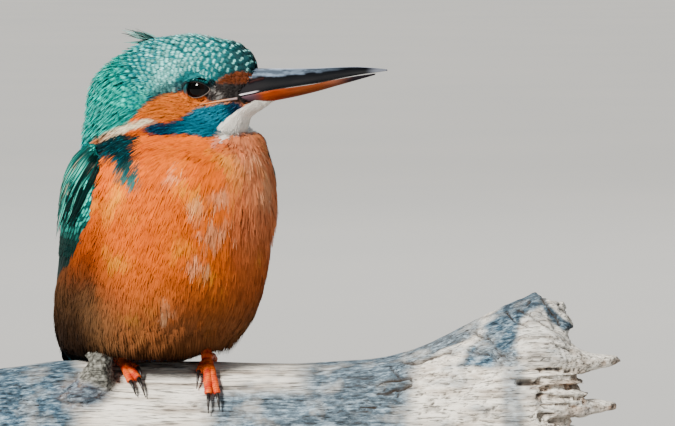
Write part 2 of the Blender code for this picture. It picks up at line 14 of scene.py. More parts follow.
import bpy
import numpy as np
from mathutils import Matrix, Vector
from mathutils.bvhtree import BVHTree


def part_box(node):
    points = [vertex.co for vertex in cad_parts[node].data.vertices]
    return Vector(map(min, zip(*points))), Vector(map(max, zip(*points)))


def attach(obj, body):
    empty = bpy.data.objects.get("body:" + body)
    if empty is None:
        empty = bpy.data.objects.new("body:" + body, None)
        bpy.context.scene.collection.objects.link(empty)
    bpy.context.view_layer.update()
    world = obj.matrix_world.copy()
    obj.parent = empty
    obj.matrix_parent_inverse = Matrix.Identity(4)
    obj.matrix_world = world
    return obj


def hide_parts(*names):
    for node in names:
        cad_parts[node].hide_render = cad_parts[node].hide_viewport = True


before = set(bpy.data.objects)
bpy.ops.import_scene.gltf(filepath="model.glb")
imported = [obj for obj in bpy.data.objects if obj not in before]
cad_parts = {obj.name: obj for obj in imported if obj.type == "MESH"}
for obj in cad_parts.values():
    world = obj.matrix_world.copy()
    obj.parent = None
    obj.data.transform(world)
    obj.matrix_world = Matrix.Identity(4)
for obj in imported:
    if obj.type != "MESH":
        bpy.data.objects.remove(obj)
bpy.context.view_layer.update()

logging.basicConfig(level=logging.INFO, format="%(name)s: %(message)s")
LOG = logging.getLogger("kingfisher")

MM = 0.001
ROOT = "root"
PATCH = 0.003
MOST_TRIANGLES = 180_000
UP = np.array((0.0, 0.0, 1.0))

Array = np.ndarray
Colour = tuple[float, float, float]
Rng = np.random.Generator
Socket = bpy.types.NodeSocket


def linear(red: int, green: int, blue: int) -> Array:
    """An sRGB colour of 0 to 255 as linear values."""
    value = np.array((red, green, blue)) / 255
    return np.where(value <= 0.04045, value / 12.92, ((value + 0.055) / 1.055) ** 2.4)


class Ink:
    """The colours of the bird, its perch and its stand."""

    CROWN = linear(16, 112, 116)
    CROWN_SPOT = linear(156, 250, 244)
    NAPE = linear(0, 136, 126)
    NAPE_TIP = linear(0, 222, 200)
    SLATE = linear(14, 40, 46)
    LORES = linear(60, 55, 54)
    LORAL = linear(98, 46, 20)
    EAR = linear(222, 116, 34)
    FLUFF = linear(150, 146, 142)
    STRIPE = linear(255, 232, 194)
    STRIPE_END = linear(186, 112, 66)
    MALAR = linear(0, 120, 146)
    MALAR_TIP = linear(0, 172, 196)
    MALAR_DARK = linear(2, 44, 74)
    THROAT = linear(255, 252, 244)
    BREAST = linear(238, 106, 0)
    BREAST_PALE = linear(255, 154, 14)
    BREAST_DEEP = linear(200, 78, 0)
    BREAST_PINK = linear(250, 196, 150)
    ROSY = linear(226, 142, 98)
    # A dull brown: partly the lower belly's own colour and partly painted shade under the body.
    BELLY_AND_SHADE = linear(122, 86, 54)
    # Near-black brown: painted shade on the lower flanks and under the body.
    FLANK_SHADE = linear(44, 25, 12)
    MANTLE = linear(0, 84, 96)
    AZURE = linear(18, 150, 226)
    SIDE_PATCH = linear(4, 38, 42)
    SIDE_TIP = linear(70, 128, 124)
    WING = linear(0, 72, 68)
    WING_SPOT = linear(66, 242, 222)
    WING_EDGE = linear(96, 222, 198)
    FLIGHT = linear(2, 26, 28)
    FLIGHT_EDGE = linear(0, 52, 54)
    TAIL = linear(2, 26, 62)


# The bird stands over this place on the branch, its body turned towards +X.
BIRD = np.array((-27.0, -4.0, 68.0))
BODY_TURN = math.radians(33)
# The eyes sit ahead of the head's own middle by this much: forward, left, up.
EYE_PLACE = np.array((-0.7, 0.0, 1.1))
EYE_RADIUS = 4.0
BILL_ROOT = np.array((14.0, 0.0, 1.0))


def unit(vectors: Array) -> Array:
    """Each vector at length 1."""
    return vectors / np.maximum(np.linalg.norm(vectors, axis=-1, keepdims=True), 1e-9)


def rise(low: float, high: float, value: Array) -> Array:
    """0 below low and 1 above high, with a smooth step between. low may be the larger."""
    t = np.clip((value - low) / (high - low), 0, 1)
    return t * t * (3 - 2 * t)


def mix(first: Array, second: Array, share: Array) -> Array:
    """From first to second by a share for each row."""
    share = np.asarray(share)[..., None]
    return first * (1 - share) + second * share


def noise(points: Array, size: float | tuple, seed: int = 0) -> Array:
    """Smooth value noise between -1 and 1.

    Args:
        points: Places, one to a row.
        size: The grain, one length or one for each axis.
        seed: Picks another pattern.

    Returns:
        One value for each place.
    """
    scaled = points / np.asarray(size, dtype=float) + seed * 17.31
    cell = np.floor(scaled)
    t = scaled - cell
    t = t * t * (3 - 2 * t)
    cell = cell.astype(np.int64)
    total = np.zeros(len(points))
    for corner in range(8):
        step = np.array([(corner >> axis) & 1 for axis in range(3)])
        key = (cell + step) @ np.array((73856093, 19349663, 83492791)) + seed * 2654435761
        key = (key ^ (key >> 13)) * 1274126177 & 0xFFFFFFFF
        value = ((key ^ (key >> 16)) & 0xFFFF) / 32767.5 - 1
        total += value * np.prod(np.where(step, t, 1 - t), axis=1)
    return total


def layered(points: Array, size: float | tuple, octaves: int = 3, seed: int = 0) -> Array:
    """Noise at several grains, each half as strong and half as large as the last."""
    parts = [noise(points, np.asarray(size) / 2**k, seed + k) / 2**k for k in range(octaves)]
    return sum(parts) / sum(0.5**k for k in range(octaves))


def within(outline: tuple, across: Array, up: Array, soft: float) -> Array:
    """How far each point is inside a closed outline, from 0 to 1 over a soft edge.

    Args:
        outline: The outline's corners.
        across: One coordinate of each point.
        up: The other.
        soft: Half the soft edge's width.

    Returns:
        One share for each point.
    """
    corners = np.array(outline, dtype=float)
    points = np.stack((across, up), axis=1)
    nearest = np.full(len(points), np.inf)
    inside = np.zeros(len(points), dtype=bool)
    for here, there in zip(corners, np.roll(corners, -1, axis=0)):
        edge = there - here
        t = np.clip((points - here) @ edge / (edge @ edge), 0, 1)
        nearest = np.minimum(nearest, np.linalg.norm(points - here - t[:, None] * edge, axis=1))
        crosses = (here[1] > points[:, 1]) != (there[1] > points[:, 1])
        rise_by = np.where(edge[1] == 0, 1e-9, edge[1])
        inside ^= crosses & (points[:, 0] < here[0] + (points[:, 1] - here[1]) * edge[0] / rise_by)
    return rise(-soft, soft, np.where(inside, nearest, -nearest))


def beside(flat: Array, line: tuple) -> Array:
    """How far places of a plane are from a line through the places given.

    Args:
        flat: The places, with their two coordinates last.
        line: The line's corners.

    Returns:
        A distance for each place.
    """
    away = np.full(flat.shape[:-1], np.inf)
    for a, b in zip(np.array(line)[:-1], np.array(line)[1:]):
        t = np.clip((flat - a) @ (b - a) / ((b - a) @ (b - a)), 0, 1)[..., None]
        away = np.minimum(away, np.linalg.norm(flat - a - t * (b - a), axis=-1))
    return away


def curve(rows: tuple, at: Array) -> list[Array]:
    """Columns of a table read at some values of its first column, on a smooth curve.

    Args:
        rows: The table's rows.
        at: Where it is read.

    Returns:
        The other columns, each with a value for each place.
    """
    table = np.array(rows, dtype=float)
    keys, values = table[:, 0], table[:, 1:]
    slopes = np.gradient(values, keys, axis=0)
    at = np.atleast_1d(np.asarray(at, dtype=float))
    i = np.clip(np.searchsorted(keys, at, side="right") - 1, 0, len(keys) - 2)
    span = (keys[i + 1] - keys[i])[:, None]
    t = (at - keys[i])[:, None] / span
    found = (
        (2 * t**3 - 3 * t**2 + 1) * values[i]
        + (t**3 - 2 * t**2 + t) * slopes[i] * span
        + (3 * t**2 - 2 * t**3) * values[i + 1]
        + (t**3 - t**2) * slopes[i + 1] * span
    )
    return list(found.T)


@dataclass(frozen=True)
class Placing:
    """A frame of its own: an origin in mm, and forward, left and up as rows."""

    origin: Array
    axes: Array

    def local(self, points: Array) -> Array:
        """Places seen from this frame."""
        return (points - self.origin) @ self.axes.T

    def world(self, points: Array) -> Array:
        """Places of this frame seen from outside."""
        return points @ self.axes + self.origin

    def turned(self, vectors: Array) -> Array:
        """Directions of this frame seen from outside."""
        return vectors @ self.axes


def middle_of(name: str) -> Array:
    """The middle of a solid's box, in mm."""
    return np.sum(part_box(name), axis=0) / 2 / MM


def placing_of_head() -> Placing:
    """The head's frame, found from the two eyes.

    Returns:
        Its placing.
    """
    left, right = (middle_of(name) for name in ("eye_left", "eye_right"))
    side = unit(left - right)
    axes = np.array((np.cross(side, UP), side, UP))
    return Placing((left + right) / 2 - EYE_PLACE @ axes, axes)


def placing_of_body() -> Placing:
    """The body's frame, over the place where the bird stands."""
    forward = np.array((math.sin(BODY_TURN), -math.cos(BODY_TURN), 0.0))
    return Placing(BIRD, np.array((forward, np.cross(UP, forward), UP)))


HEAD = placing_of_head()
BODY = placing_of_body()


# ---------------------------------------------------------------------------------------------
# Meshes


def paint_points(mesh: bpy.types.Mesh, colours: Array) -> None:
    """Keeps a linear colour with each point of a mesh.

    Args:
        mesh: The mesh.
        colours: A colour for each point.
    """
    layer = mesh.color_attributes.new("Plumage", "FLOAT_COLOR", "POINT")
    full = np.ones((len(mesh.vertices), 4), dtype=np.float32)
    full[:, :3] = np.clip(colours, 0, 1)
    layer.data.foreach_set("color", full.ravel())


def points_and_normals(mesh: bpy.types.Mesh) -> tuple[Array, Array]:
    """The points of a mesh, in mm, and their normals.

    Args:
        mesh: The mesh.

    Returns:
        A place and a normal for each point.
    """
    points, normals = np.empty(len(mesh.vertices) * 3), np.empty(len(mesh.vertices) * 3)
    mesh.vertices.foreach_get("co", points)
    mesh.vertex_normals.foreach_get("vector", normals)
    return points.reshape(-1, 3) / MM, normals.reshape(-1, 3)


def relax(thing: bpy.types.Object, passes: int) -> None:
    """Smooths the active object, and makes all of its modifiers part of its mesh."""
    thing.modifiers.new("Relax", "SMOOTH").iterations = passes
    for name in [modifier.name for modifier in thing.modifiers]:
        bpy.ops.object.modifier_apply(modifier=name)


def fuse(thing: bpy.types.Object, voxel: float, passes: int) -> None:
    """Grows the parts of the active object together, in voxels of some mm, and smooths them."""
    grown = thing.modifiers.new("Fuse", "REMESH")
    grown.mode, grown.voxel_size = "VOXEL", voxel * MM
    relax(thing, passes)


def write_mesh(
    name: str,
    points: Array,
    faces: Array | list,
    colours: Array | None = None,
    maps: dict[str, Array] | None = None,
    values: dict[str, Array] | None = None,
) -> bpy.types.Object:
    """Makes an object from arrays, shaded smooth.

    Args:
        name: The object's name.
        points: Places in mm.
        faces: Corner numbers.
        colours: Linear colours for each point.
        maps: UV maps by name, each with one row for each point.
        values: Other numbers for each point, by name.

    Returns:
        The object, in the scene.
    """
    mesh = bpy.data.meshes.new(name)
    faces = faces.tolist() if isinstance(faces, np.ndarray) else faces
    mesh.from_pydata((points * MM).tolist(), [], faces)
    mesh.shade_smooth()
    if colours is not None:
        paint_points(mesh, colours)
    corners = np.empty(len(mesh.loops), dtype=np.int32)
    mesh.loops.foreach_get("vertex_index", corners)
    for title, uv in (maps or {}).items():
        layer = mesh.uv_layers.new(name=title)
        layer.data.foreach_set("uv", uv[corners].astype(np.float32).ravel())
    for title, numbers in (values or {}).items():
        layer = mesh.attributes.new(title, "FLOAT", "POINT")
        layer.data.foreach_set("value", numbers.astype(np.float32))
    thing = bpy.data.objects.new(name, mesh)
    bpy.context.scene.collection.objects.link(thing)
    return thing


def settle(thing: bpy.types.Object, replaced: tuple[str, ...], finish: "Finishes") -> None:
    """Gives a finished piece its body, the solids it stands for and its material.

    Args:
        thing: The piece.
        replaced: The solids that it stands for.
        finish: What it is finished in.
    """
    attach(thing, ROOT)
    if replaced:
        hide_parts(*replaced)
    thing.data.materials.clear()
    thing.data.materials.append(finish.material)
    LOG.info("%s: %d faces", thing.name, len(thing.data.polygons))


def grid_faces(rows: int, columns: int, start: int = 0, closed: bool = False) -> Array:
    """Quads of a grid of points.

    Args:
        rows: Rows of points.
        columns: Points in a row.
        start: The first point's number.
        closed: Joins the last column to the first.

    Returns:
        Four corner numbers for each quad, row by row.
    """
    r, c = np.meshgrid(np.arange(rows - 1), np.arange(columns - (not closed)), indexing="ij")
    right = (c + 1) % columns
    quads = np.stack((r * columns + c, r * columns + right, (r + 1) * columns + right,
                      (r + 1) * columns + c), axis=-1)
    return quads.reshape(-1, 4) + start


def capped(rows: int, columns: int) -> list[list[int]]:
    """The faces of a bar made of closed rings, with a cap over each end."""
    last = (rows - 1) * columns
    ends = [list(range(columns))[::-1], list(range(last, last + columns))]
    return grid_faces(rows, columns, closed=True).tolist() + ends


def tube(path: Array, radii: Array, sides: int, squash: float = 1.0) -> tuple[Array, list]:
    """A round bar along a path, closed at both ends.

    Args:
        path: Places along the middle.
        radii: A radius for each place.
        sides: Points round the bar.
        squash: The height of the section as a share of its width.

    Returns:
        Its points and its faces.
    """
    along = unit(np.gradient(path, axis=0))
    across = unit(np.cross(along, UP + np.array((0.01, 0.02, 0.0))))
    over = np.cross(across, along)
    turn = np.linspace(0, 2 * math.pi, sides, endpoint=False)
    ring = (
        np.cos(turn)[None, :, None] * across[:, None] + np.sin(turn)[None, :, None] * over[:, None] * squash
    )
    points = (path[:, None] + ring * np.asarray(radii)[:, None, None]).reshape(-1, 3)
    return points, capped(len(path), sides)


def joined(parts: list[tuple[Array, list]]) -> tuple[Array, list]:
    """Several points-and-faces pairs as one.

    Args:
        parts: The pairs.

    Returns:
        All the points, and the faces with their corners renumbered.
    """
    points, faces, start = [], [], 0
    for some, around in parts:
        points.append(some)
        faces += [[corner + start for corner in face] for face in around]
        start += len(some)
    return np.concatenate(points), faces


# ---------------------------------------------------------------------------------------------
# Materials


class Graph:
    """A short way to write a material's or a group's nodes."""

    def __init__(self, tree: bpy.types.NodeTree) -> None:
        """Writes into a node tree."""
        self.tree = tree

    def add(self, kind: str, inputs: dict | None = None, **settings: object) -> bpy.types.Node:
        """A new node.

        Args:
            kind: The node's class name without ShaderNode.
            inputs: Values or output sockets by input name or number.
            settings: Properties of the node.

        Returns:
            The node.
        """
        node = self.tree.nodes.new("ShaderNode" + kind)
        for name, value in settings.items():
            setattr(node, name, value)
        for name, value in (inputs or {}).items():
            if isinstance(value, Socket):
                self.tree.links.new(value, node.inputs[name])
            else:
                node.inputs[name].default_value = value
        return node

    def ramp(self, value: Socket, stops: list[tuple]) -> Socket:
        """A colour ramp's output. stops holds a place and a grey value or a colour.

        Args:
            value: What it reads.
            stops: A place from 0 to 1 and a grey value or a colour, for each stop.

        Returns:
            The colour made.
        """
        node = self.add("ValToRGB", {0: value})
        band = node.color_ramp
        while len(band.elements) < len(stops):
            band.elements.new(0.5)
        for element, (place, shade) in zip(band.elements, stops):
            element.position = place
            colour = (shade,) * 3 if isinstance(shade, float) else tuple(shade)
            element.color = (*colour, 1)
        return node.outputs[0]

    def blend(self, share: Socket | float, first: Socket | Array | tuple, second: Socket | Array | tuple,
              mode: str = "MIX") -> Socket:
        """Two colours mixed.

        Args:
            share: How much of the second colour shows.
            first: The colour below.
            second: The colour over it.
            mode: How they mix.

        Returns:
            The colour made.
        """
        node = self.add("Mix", data_type="RGBA", blend_type=mode)
        for number, value in ((0, share), (6, first), (7, second)):
            if isinstance(value, Socket):
                self.tree.links.new(value, node.inputs[number])
            elif number == 0:
                node.inputs[0].default_value = value
            else:
                node.inputs[number].default_value = (*value, 1)
        return node.outputs[2]

    def maths(self, operation: str, *values: Socket | float) -> Socket:
        """A sum on numbers or sockets."""
        return self.add("Math", dict(enumerate(values)), operation=operation).outputs[0]

    def bump(self, height: Socket, strength: float, distance: float, under: Socket | None = None) -> Socket:
        """A bump's normal. distance is in mm.

        Args:
            height: What it follows.
            strength: How strong it is, from 0 to 1.
            distance: How deep it is, in mm.
            under: A normal that it adds to.

        Returns:
            The normal made.
        """
        inputs = {"Height": height, "Strength": strength, "Distance": distance * MM}
        if under is not None:
            inputs["Normal"] = under
        return self.add("Bump", inputs).outputs[0]

    def own_place(self) -> Socket:
        """The place in the object's own frame."""
        return self.add("TexCoord").outputs["Object"]

    def own_map(self) -> Socket:
        """The place on the map of a feather or of the bill."""
        return self.add("UVMap", uv_map="Vane").outputs[0]

    def stored(self, name: str) -> Socket:
        """A number kept with each point of the mesh."""
        return self.add("Attribute", attribute_name=name).outputs["Fac"]

    def plumage(self, shade: Socket | tuple = (1.0, 1.0, 1.0)) -> Socket:
        """The colour kept with each point of the mesh, dimmed by a shade."""
        colour = self.add("Attribute", attribute_name="Plumage").outputs["Color"]
        return self.blend(1.0, colour, shade, "MULTIPLY")

    def cloud(self, place: Socket, scale: float | tuple, detail: float, roughness: float = 0.5) -> Socket:
        """Noise between 0 and 1.

        Args:
            place: Where it is read.
            scale: Grains to a unit of the place: one number, or one for each axis.
            detail: How many finer grains are added.
            roughness: How strong the finer grains are.

        Returns:
            The noise.
        """
        if isinstance(scale, tuple):
            place, scale = self.add("Mapping", {"Vector": place, "Scale": scale}).outputs[0], 1.0
        inputs = {"Vector": place, "Scale": scale, "Detail": detail, "Roughness": roughness}
        return self.add("TexNoise", inputs).outputs[0]


@dataclass(frozen=True)
class Finish:
    """A material: its Principled values, and what paints its nodes."""

    name: str
    paint: Callable[[Graph], dict]
    values: dict = field(default_factory=dict)

    def made(self) -> bpy.types.Material:
        """The material, made the first time it is asked for.

        Returns:
            The material.
        """
        found = bpy.data.materials.get(self.name)
        if found:
            return found
        material = bpy.data.materials.new(self.name)
        material.use_nodes = True
        shader = material.node_tree.nodes["Principled BSDF"]
        for name, value in self.values.items():
            shader.inputs[name].default_value = value
        graph = Graph(material.node_tree)
        for name, socket in self.paint(graph).items():
            material.node_tree.links.new(socket, shader.inputs[name])
        return material


def group(name: str, fill: Callable[[Graph], dict]) -> bpy.types.NodeTree:
    """A node group with the numbers that fill gives, made once.

    Args:
        name: The group's name.
        fill: Writes its nodes and gives its outputs by name.

    Returns:
        The group.
    """
    found = bpy.data.node_groups.get(name)
    if found:
        return found
    tree = bpy.data.node_groups.new(name, "ShaderNodeTree")
    made = fill(Graph(tree))
    for title in made:
        tree.interface.new_socket(title, in_out="OUTPUT", socket_type="NodeSocketFloat")
    end = tree.nodes.new("NodeGroupOutput")
    for title, socket in made.items():
        tree.links.new(socket, end.inputs[title])
    return tree


def grouped(graph: Graph, name: str, fill: Callable[[Graph], dict]) -> list[Socket]:
    """The outputs of a node group, used in a material."""
    return list(graph.add("Group", node_tree=group(name, fill)).outputs)


def barb_nodes(graph: Graph) -> dict:
    """Fine slanted barbs on either side of a shaft, from the vane's own map.

    Args:
        graph: The nodes to write.

    Returns:
        The group's outputs by name.
    """
    place = graph.own_map()
    parts = graph.add("SeparateXYZ", {0: place})
    side = graph.maths("ABSOLUTE", parts.outputs[0])
    slant = graph.maths("SUBTRACT", parts.outputs[1], graph.maths("MULTIPLY", side, 0.75))
    wave = graph.maths("SINE", graph.maths("MULTIPLY", slant, 26.0))
    return {"Barbs": graph.maths("ADD", graph.maths("MULTIPLY", wave, 0.35), graph.cloud(place, 5.0, 3.0))}


def fine_nodes(graph: Graph) -> dict:
    """Small uneven shade all over, in the object's own place.

    Args:
        graph: The nodes to write.

    Returns:
        The group's outputs by name.
    """
    place = graph.own_place()
    fine, broad = graph.cloud(place, 900.0, 3.0), graph.cloud(place, 140.0, 2.0)
    fine, broad = (graph.maths("MULTIPLY", part, 0.5) for part in (fine, broad))
    return {"Shade": graph.maths("ADD", fine, broad)}


def grain_nodes(graph: Graph) -> dict:
    """Wood fibres along X, fine and broad.

    Args:
        graph: The nodes to write.

    Returns:
        The group's outputs by name.
    """
    place = graph.own_place()
    return {
        "Fine": graph.cloud(place, (130.0, 2500.0, 2500.0), 4.0, 0.65),
        "Broad": graph.cloud(place, (30.0, 420.0, 420.0), 5.0, 0.6),
    }


def paint_feather(graph: Graph) -> dict:
    """Plumage colour with slight unevenness."""
    fine = grouped(graph, "FineShade", fine_nodes)[0]
    return {"Base Color": graph.plumage(graph.ramp(fine, [(0.3, 0.72), (0.7, 1.0)]))}


def paint_vane(graph: Graph) -> dict:
    """Plumage colour with barbs that catch the light.

    Args:
        graph: The nodes to write.

    Returns:
        Sockets by the shader input that each feeds.
    """
    barbs = grouped(graph, "Barbs", barb_nodes)[0]
    return {
        "Base Color": graph.plumage(graph.ramp(barbs, [(0.1, 0.62), (0.85, 1.0)])),
        "Normal": graph.bump(barbs, 0.5, 0.12),
    }


def paint_skin(graph: Graph) -> dict:
    """The skin under the feathers, in their colours but darker."""
    fine = grouped(graph, "FineShade", fine_nodes)[0]
    return {"Base Color": graph.plumage((0.75, 0.75, 0.75)), "Normal": graph.bump(fine, 0.6, 0.2)}


def paint_driftwood(graph: Graph) -> dict:
    """Bleached bare wood: pale fibres, grey weathering and painted blue-grey shade, brown in the cracks and
    breaks.

    Args:
        graph: The nodes to write.

    Returns:
        Sockets by the shader input that each feeds.
    """
    fine, broad = grouped(graph, "WoodFibres", grain_nodes)
    place = graph.own_place()
    cloud, moss = graph.cloud(place, 120.0, 5.0), graph.cloud(place, 900.0, 4.0)
    pale = graph.ramp(broad, [(0.32, linear(150, 140, 130)), (0.42, linear(208, 199, 186)),
                              (0.54, linear(246, 241, 230))])
    speck = graph.cloud(place, (330.0, 1100.0, 1100.0), 5.0, 0.7)
    blue = graph.ramp(speck, [(0.36, linear(26, 44, 58)), (0.50, linear(72, 100, 120)),
                              (0.64, linear(150, 174, 192))])
    blue = graph.blend(0.55, blue, graph.ramp(broad, [(0.40, 0.35), (0.54, 1.0)]), "MULTIPLY")
    # The Grey veil is partly grey weathering and partly painted shade: blue-grey patches that stand for
    # shadow on the branch.
    veil = graph.maths("MULTIPLY", graph.stored("Grey"), graph.ramp(cloud, [(0.34, 0.7), (0.5, 1.0)]))
    colour = graph.blend(veil, pale, blue)
    fibres = graph.ramp(broad, [(0.4, 0.0), (0.6, 1.0)])
    brown = graph.blend(fibres, linear(70, 46, 30), linear(158, 118, 84))
    fresh = graph.maths("MULTIPLY", graph.stored("Broken"), graph.ramp(cloud, [(0.3, 0.95), (0.6, 0.35)]))
    colour = graph.blend(fresh, colour, brown)
    grey = graph.ramp(moss, [(0.34, linear(40, 39, 35)), (0.50, linear(96, 96, 90)),
                             (0.66, linear(140, 140, 132))])
    colour = graph.blend(graph.stored("Lichen"), colour, grey)
    colour = graph.blend(0.9, colour, graph.ramp(fine, [(0.38, 0.14), (0.48, 1.0)]), "MULTIPLY")
    colour = graph.blend(graph.stored("Crack"), colour, linear(44, 36, 29))
    height = graph.maths("ADD", graph.maths("MULTIPLY", fine, 0.5), broad)
    return {"Base Color": colour, "Normal": graph.bump(moss, 0.25, 0.15, graph.bump(height, 0.9, 0.5))}


def paint_stand_wood(graph: Graph) -> dict:
    """Dark, waxed wood.

    Args:
        graph: The nodes to write.

    Returns:
        Sockets by the shader input that each feeds.
    """
    fine, broad = grouped(graph, "WoodFibres", grain_nodes)
    colour = graph.ramp(broad, [(0.3, linear(26, 15, 10)), (0.6, linear(66, 38, 22))])
    return {
        "Base Color": graph.blend(0.7, colour, graph.ramp(fine, [(0.3, 0.55), (0.6, 1.0)]), "MULTIPLY"),
        "Roughness": graph.ramp(fine, [(0.2, 0.32), (0.8, 0.5)]),
        "Normal": graph.bump(fine, 0.15, 0.1),
    }


def paint_brass(graph: Graph) -> dict:
    """Satin brass, turned finely and dulled in places.

    Args:
        graph: The nodes to write.

    Returns:
        Sockets by the shader input that each feeds.
    """
    place = graph.own_place()
    lines, dull = graph.cloud(place, (60.0, 60.0, 6000.0), 2.0), graph.cloud(place, 90.0, 4.0)
    return {
        "Base Color": graph.ramp(dull, [(0.35, linear(150, 116, 62)), (0.65, linear(206, 172, 104))]),
        "Roughness": graph.ramp(dull, [(0.3, 0.42), (0.7, 0.26)]),
        "Normal": graph.bump(lines, 0.1, 0.05),
    }


def paint_horn(graph: Graph) -> dict:
    """Horn with long fine striations and scuffs.

    Args:
        graph: The nodes to write.

    Returns:
        Sockets by the shader input that each feeds.
    """
    lines = graph.cloud(graph.own_map(), (34.0, 1.6, 1.0), 4.0, 0.6)
    return {
        "Base Color": graph.plumage(graph.ramp(lines, [(0.35, 0.7), (0.6, 1.0)])),
        "Roughness": graph.ramp(lines, [(0.3, 0.34), (0.7, 0.55)]),
        "Normal": graph.bump(lines, 0.35, 0.08),
    }


def paint_eye(graph: Graph) -> dict:
    """A wet eye: dark iris and black pupil."""
    return {"Base Color": graph.plumage()}


def paint_foot(graph: Graph) -> dict:
    """Coral-red scaly skin, dark between its scales.

    Args:
        graph: The nodes to write.

    Returns:
        Sockets by the shader input that each feeds.
    """
    place = graph.own_place()
    cells = graph.add("TexVoronoi", {"Vector": place, "Scale": 2300.0}, feature="DISTANCE_TO_EDGE").outputs[0]
    scute = graph.stored("Scute")
    broad = graph.cloud(place, 500.0, 3.0)
    colour = graph.ramp(broad, [(0.38, linear(206, 48, 8)), (0.62, linear(246, 112, 30))])
    colour = graph.blend(graph.ramp(cells, [(0.0, 0.45), (0.06, 0.0)]), colour, linear(120, 24, 12))
    colour = graph.blend(scute, colour, linear(96, 20, 12))
    height = graph.maths("SUBTRACT", graph.ramp(cells, [(0.0, 0.0), (0.12, 1.0)]), scute)
    return {"Base Color": colour, "Normal": graph.bump(height, 0.5, 0.12)}


def paint_claw(graph: Graph) -> dict:
    """Dark horn, paler where it is worn.

    Args:
        graph: The nodes to write.

    Returns:
        Sockets by the shader input that each feeds.
    """
    worn = graph.cloud(graph.own_place(), 1100.0, 4.0)
    return {
        "Base Color": graph.ramp(worn, [(0.4, linear(10, 8, 8)), (0.75, linear(48, 40, 38))]),
        "Roughness": graph.ramp(worn, [(0.3, 0.3), (0.7, 0.5)]),
    }


def paint_floor(graph: Graph) -> dict:
    """A plain pale floor."""
    cloud = graph.cloud(graph.own_place(), 3.0, 3.0)
    return {"Base Color": graph.ramp(cloud, [(0.2, (0.49, 0.50, 0.50)), (0.8, (0.53, 0.53, 0.52))])}


class Finishes(Enum):
    """Every finish in the scene."""

    SILKY = Finish("silky_feather", paint_feather, {"Roughness": 0.5, "Specular IOR Level": 0.12})
    SOFT = Finish("soft_feather", paint_feather, {"Roughness": 0.8, "Specular IOR Level": 0.05})
    VANE = Finish("vane", paint_vane, {"Roughness": 0.45, "Specular IOR Level": 0.05})
    SKIN = Finish("feathered_skin", paint_skin, {"Roughness": 0.8, "Specular IOR Level": 0.2})
    HORN = Finish("horn_wear_and_sheen", paint_horn, {"Roughness": 0.4, "Specular IOR Level": 0.04})
    EYE = Finish("wet_eye", paint_eye, {"Roughness": 0.04, "Specular IOR Level": 0.16})
    LID = Finish("eyelid", paint_skin, {"Roughness": 0.5})
    FOOT = Finish("scaly_foot", paint_foot, {"Roughness": 0.42, "Specular IOR Level": 0.25})
    CLAW = Finish("claw_horn", paint_claw, {"Roughness": 0.35})
    WOOD = Finish("driftwood", paint_driftwood, {"Roughness": 0.85, "Specular IOR Level": 0.25})
    STAND_WOOD = Finish("waxed_wood", paint_stand_wood, {"Roughness": 0.4})
    BRASS = Finish("satin_brass", paint_brass, {"Metallic": 1.0, "Roughness": 0.3})
    FLOOR = Finish("pale_floor", paint_floor, {"Roughness": 0.9, "Specular IOR Level": 0.1})

    @property
    def material(self) -> bpy.types.Material:
        """This finish as a material."""
        return self.value.made()


# ---------------------------------------------------------------------------------------------
# Markings


